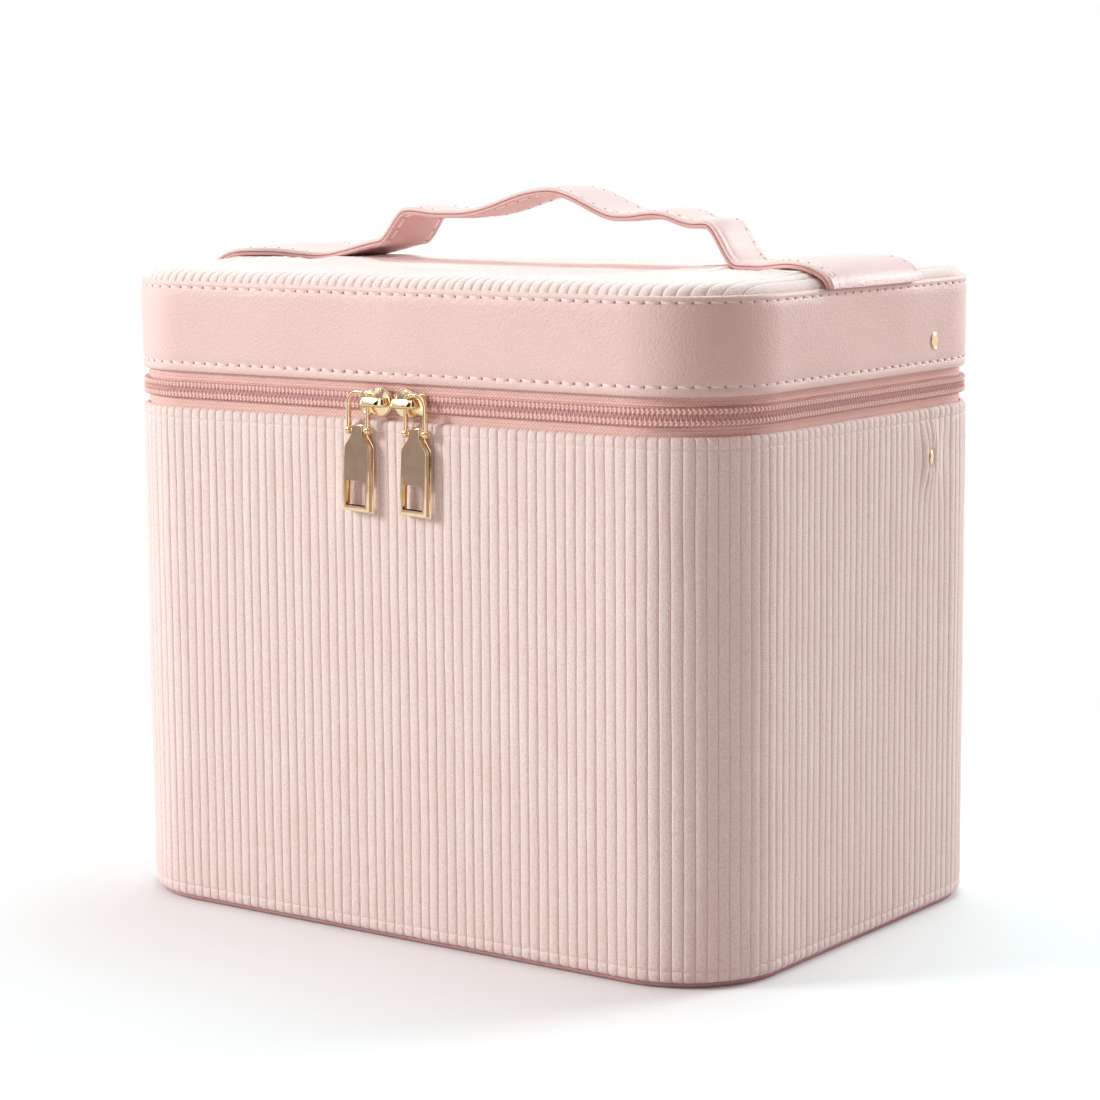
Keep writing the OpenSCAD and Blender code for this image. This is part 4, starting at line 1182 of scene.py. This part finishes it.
def linings():
    """The linings of body and lid, the floor pad, the lid's foam and the base cover."""
    soft = wobble(41, 84, 56, CASE_ROUND)

    def nap(s, out, up):
        return s, out - np.where(out < -4.6 * MM, 0.15 * MM * soft(s, up), 0), up

    rows = [(-4.75, 4.4)] + [(-4.75, z) for z in np.linspace(8, 168, 12)] + [
        (-4.75, 169.8), (-4.55, 170.6), (-4.1, 171.0), (-3.2, 171.05), (-2.85, 170.8), (-2.85, 170.3),
        (-3.3, 170.1), (-3.85, 170.0), (-3.85, 4.4)]
    obj = shell("body_lining_cloth", rows, 360, LINING, "case", ["body_lining"], nap, True)

    rows = [(-34, 208.9), (-20, 208.8), (-8, 208.75), (-6, 208.6), (-5.1, 207.9), (-4.75, 206.5),
            (-4.75, 200), (-4.75, 192), (-4.75, 184), (-4.75, 181.9), (-4.55, 181.3), (-4.1, 181.0),
            (-3.2, 180.95), (-2.85, 181.2), (-2.85, 181.7), (-3.3, 181.9), (-3.85, 182.0), (-3.85, 209.65),
            (-20, 209.7), (-34, 209.7)]
    obj = shell("lid_lining_cloth", rows, 360, LINING, "lid", ["lid_lining"], nap)

    rows = [(-30, 4.3), (-6, 4.3), (-5.2, 4.5), (-4.9, 5.3), (-5.2, 6.3), (-6.2, 6.9), (-9, 7.15),
            (-16, 7.25), (-30, 7.3)]
    shell("floor_pad_cloth", rows, 240, LINING, "case", ["floor_pad"])
    rows = [(-34, 212.05), (-6.5, 212.05), (-6.1, 212.4), (-6.05, 213.4), (-6.5, 214.0), (-9, 214.35),
            (-34, 214.4)]
    shell("lid_foam_pad", rows, 240, FOAM, "lid", ["lid_top_pad"])
    rows = [(-34, 0.0), (-4.0, 0.0), (-2.7, 0.1), (-1.9, 0.5), (-1.5, 1.1), (-1.45, 1.7), (-1.7, 2.0),
            (-34, 2.0)]
    obj = shell("base_leather_cover", rows, 360, PU_BASE, "case", ["base_cover"])


def cushion_box(low, high, cuts, soft):
    """A padded block: a cube cut up, its edges rounded and its faces swollen between them."""
    obj = block(low, high, MM)
    low, high = np.array(low) * MM, np.array(high) * MM
    modify(obj, "BEVEL", width=1.6 * MM, segments=3)
    in_edit(obj, *[lambda: bpy.ops.mesh.subdivide(number_cuts=1)] * cuts)
    co = coords(obj)
    half = (high - low) / 2
    u = (co - (low + high) / 2) / half
    thin = int(np.argmin(half))
    pillow = np.prod([np.clip(1 - np.abs(u[:, k]) ** 6, 0, 1) for k in range(3) if k != thin], axis=0)
    co[:, thin] += np.sign(u[:, thin]) * soft * MM * (pillow - 0.75) * (np.abs(u[:, thin]) > 0.5)
    return place(obj, co)


def dividers():
    """Padded walls. The hook-and-loop flap at each end lies on the lining or on the long wall."""
    foot, top = 7.4, 125.3
    flap_top = 7.35 + 0.9 * 118
    for node, across, off, start, end in (("divider_long", False, 20.0, -119.85, 119.85),
                                          ("divider_front_left", True, -40.0, -83.85, 17.15),
                                          ("divider_front_right", True, 40.0, -83.85, 17.15),
                                          ("divider_rear", True, 0.0, 22.85, 83.85)):
        def part(start, end, half, top, cuts, soft):
            spans = [(start, end), (off - half, off + half)]
            (x0, x1), (y0, y1) = spans[::-1] if across else spans
            return cushion_box((x0, y0, foot), (x1, y1, top), cuts, soft)

        wall = part(start + 0.2, end - 0.2, 2.5, top, 3, 0.25)
        flaps = [part(a, a + 1.5, 12, flap_top, 1, 0.1) for a in (start, end - 1.5)]
        finished(named(wall, node + "_wall"), 60, DIVIDER, "case", [node])
        finished(join(node + "_flaps", flaps), 60, HOOKS, "case")


def mirror_frame():
    """The leather frame round the lid's mirror."""
    rows = [(-6, 205.9), (-5.8, 205.6), (-5.2, 205.5), (-3, 205.42), (-0.9, 205.5), (-0.2, 205.75),
            (0, 206.4), (0, 208.0), (-0.3, 208.6), (-5.8, 208.65), (-6, 208.3)]
    shell("mirror_frame_leather", rows, 240, PU, "lid", ["mirror_frame"], None, True,
          rounded_path(196 * MM, 128 * MM, 12 * MM))


# ---- Fold strip ----

def fold_strip():
    """One strip of leather over the fold, sewn to the body and to the lid."""
    half, low, high = 84 * MM, 158 * MM, 194 * MM
    seams = (("lower", 160.6 * MM, "case"), ("upper", 191.4 * MM, "lid"))
    columns = np.concatenate([[-half, -half + 0.3 * MM], np.linspace(-half + 1 * MM, half - 1 * MM, 61),
                              [half - 0.3 * MM, half]])
    rows = np.concatenate([[158, 158.3, 159], np.linspace(160, 170, 6), np.linspace(171, 181, 17),
                           np.linspace(182, 192, 6), [193, 193.7, 194]]) * MM
    soft = wobble(51, 80, 160)
    faces = []
    for name, sign in (("outer", 1), ("inner", -1)):
        obj, i, j = sheet_grid("fold_" + name, columns, rows)
        co = coords(obj)
        edge = np.minimum(half - np.abs(columns[i]), np.minimum(rows[j] - low, high - rows[j]))
        roll = edge_roll(np.where(edge < 0.001 * MM, 0, edge), 0.6 * MM)
        depth = sign * (0.58 * MM * roll)
        if sign > 0:
            seam = sum(bump(co[:, 2], z, 0.5 * MM) for _, z, _ in seams)
            depth += roll * (0.12 * MM * soft(co[:, 0], co[:, 2]) - 0.2 * MM * seam)
        co[:, 1] = FOLD_Y + depth
        faces.append(place(obj, co))
    obj = sealed(join("fold_strip_leather", faces))
    finished(obj, 60, PU, None)
    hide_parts("fold_strip_lower", "fold_strip_upper")
    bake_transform(obj)
    for name, z, body in seams:
        x = np.linspace(half - 3 * MM, -half + 3 * MM, 40)
        points = table(x, np.full(40, FOLD_Y + 0.5 * MM), np.full(40, z))
        at, length = line_path(points, np.tile([0.0, 1.0, 0.0], (40, 1)))
        sewn("fold_*_" + name, at, length, STITCH, body, -0.03 * MM)


# ---- Setting ----

WHITE = (1, 1, 1, 1)
# Glow of the floor near the case, which lightens its shadow
FLOOR_LIFT = 0.06


def soft_lamp(name, location, size, energy, colour=(1, 1, 1)):
    """A round lamp that faces the case."""
    data = bpy.data.lights.new(name, "AREA")
    data.shape, data.size, data.energy, data.color = "DISK", size, energy, colour
    obj = bpy.data.objects.new(name, data)
    bpy.context.scene.collection.objects.link(obj)
    obj.location = location
    obj.rotation_mode = "QUATERNION"
    obj.rotation_quaternion = (Vector(location) - Vector((0, 0, 0.1))).to_track_quat("Z", "Y")


def card(name, azimuth, distance, width, high, mat):
    """An upright studio card on the floor that the camera doesn't see, turned to the case."""
    a = math.radians(azimuth)
    obj = named(primitive(bpy.ops.mesh.primitive_plane_add, size=1), name)
    co = coords(obj)
    out, side = np.array([math.cos(a), math.sin(a), 0.0]), np.array([-math.sin(a), math.cos(a), 0.0])
    middle = distance * out + (0, 0, high / 2)
    place(obj, middle + co[:, :1] * width * side + co[:, 1:2] * high * np.array([0, 0, 1.0]))
    in_edit(obj, lambda: bpy.ops.mesh.flip_normals())
    obj.visible_camera = False
    obj.data.materials.append(mat)
    return obj


def dark_card(name, azimuth, distance, width, high, colour):
    """A card that keeps light from the side of the case that it stands by."""
    mat, nodes, shader = finish_material(name + "_paper", Roughness=0.9)
    shade = tuple(0.985 * c for c in colour[:3]) + (1,)
    nodes.feed(shader, "Base Color", nodes.mix(nodes.noise(3.0), shade, colour))
    card(name, azimuth, distance, width, high, mat)


def gloss_card(name, azimuth, distance, width, high, levels, colour=WHITE):
    """A card that only gloss and metal show. Its glow goes from one level to another up from the floor."""
    mat, nodes, _ = finish_material(name + "_glow", Roughness=1.0)
    up = nodes.add("SeparateXYZ", Vector=nodes.object_place()).outputs["Z"]
    (z0, level0), (z1, level1) = levels
    strength = nodes.plus(level0, nodes.ramp(up, z0, z1), level1 - level0)
    nodes.end(nodes.add("Emission", Color=colour, Strength=strength))
    obj = card(name, azimuth, distance, width, high, mat)
    obj.visible_diffuse = obj.visible_shadow = False


def white_floor():
    """A white floor that keeps the case's shadow and fades into the world behind it."""
    floor = primitive(bpy.ops.mesh.primitive_circle_add, vertices=96, radius=6, fill_type="NGON")
    named(floor, "floor")
    mat, nodes, shader = finish_material("floor_white", Roughness=0.9)
    in_view, seen = nodes.seen()
    paper = nodes.mix(nodes.noise(3.0), (0.90, 0.97, 0.98, 1), (0.92, 0.99, 1.0, 1))
    nodes.feed(shader, "Base Color", nodes.mix(in_view, (0.62, 0.575, 0.565, 1), paper))
    far = nodes.add("VectorMath", {"operation": "LENGTH"}, {0: nodes.object_place()}).outputs["Value"]
    lift = nodes.math("MAXIMUM", nodes.ramp(far, 0.17, 0.38), FLOOR_LIFT)
    glow = nodes.add("Emission")
    nodes.end(nodes.add("MixShader", None, {0: nodes.math("MULTIPLY", seen, lift), 1: shader.outputs[0],
                                            2: glow.outputs[0]}))
    floor.data.materials.append(mat)


def setting():
    """A white floor that runs out into a white world, soft lamps and cards out of view."""
    white_floor()
    world = bpy.data.worlds.new("studio")
    bpy.context.scene.world = world
    world.use_nodes = True
    nodes = Nodes(world.node_tree)
    back = world.node_tree.nodes["Background"]
    seen = nodes.seen()[1]
    nodes.feed(back, "Color", nodes.mix(seen, (1.0, 0.72, 0.69, 1), WHITE))
    nodes.feed(back, "Strength", nodes.plus(0.58, seen, 0.42))
    soft_lamp("key_lamp", (-1.5, -1.5, 1.0), 0.8, 32)
    soft_lamp("top_lamp", (0.0, 0.35, 1.4), 0.9, 10, (0.6, 0.97, 1.0))
    soft_lamp("side_lamp", (0.9, 1.8, 0.9), 0.9, 25)
    dark_card("room_card", 318, 1.6, 2.6, 1.5, (0.12, 0.07, 0.06, 1))
    gloss_card("left_glow", 192, 1.4, 0.9, 1.3, ((0.0, 2.0), (1.3, 2.0)))
    gloss_card("near_glow", 272, 1.3, 0.76, 1.2, ((0.0, 1.6), (1.2, 1.6)))
    gloss_card("tab_card", 231, 0.78, 0.52, 0.5, ((0.03, 0.56), (0.06, 0.36)), (1.0, 0.87, 0.94, 1))


def camera():
    """A long lens to the right of the case's front, a little above it."""
    place_at = Vector((0.60092, -0.83363, 0.26382))
    back = Vector((0.57955, -0.80272, 0.14057)).normalized()
    azimuth, roll = math.radians(35.829), math.radians(-0.424)
    level = Vector((math.cos(azimuth), math.sin(azimuth), 0))
    upright = back.cross(level)
    right = level * math.cos(roll) + upright * math.sin(roll)
    up = upright * math.cos(roll) - level * math.sin(roll)
    data = bpy.data.cameras.new("camera")
    data.sensor_width = 36
    data.lens = 98.81
    data.clip_start, data.clip_end = 0.01, 100
    obj = bpy.data.objects.new("camera", data)
    bpy.context.scene.collection.objects.link(obj)
    obj.matrix_world = Matrix((
        (right.x, up.x, back.x, place_at.x), (right.y, up.y, back.y, place_at.y),
        (right.z, up.z, back.z, place_at.z), (0, 0, 0, 1)))
    bpy.context.scene.camera = obj


bpy.context.scene.view_settings.view_transform = "Standard"
camera()
body_corduroy()
lid_corduroy()
lid_band()
for row_name, row_z in (("upper", UPPER_ROW), ("lower", LOWER_ROW)):
    sewn("band_*_" + row_name, case_at, CASE_ROUND, BAND_PITCH, "lid", -0.12 * MM, row_z)
strap()
zip_closure()
hardware()
linings()
dividers()
mirror_frame()
fold_strip()
for node, mat in [(name, BOARD) for name in ("base_board", "body_board", "lid_board", "lid_panel")] + [
        ("mirror", MIRROR)]:
    frame["nodes"][node].data.materials.clear()
    frame["nodes"][node].data.materials.append(mat)
setting()

bpy.ops.object.select_all(action="DESELECT")
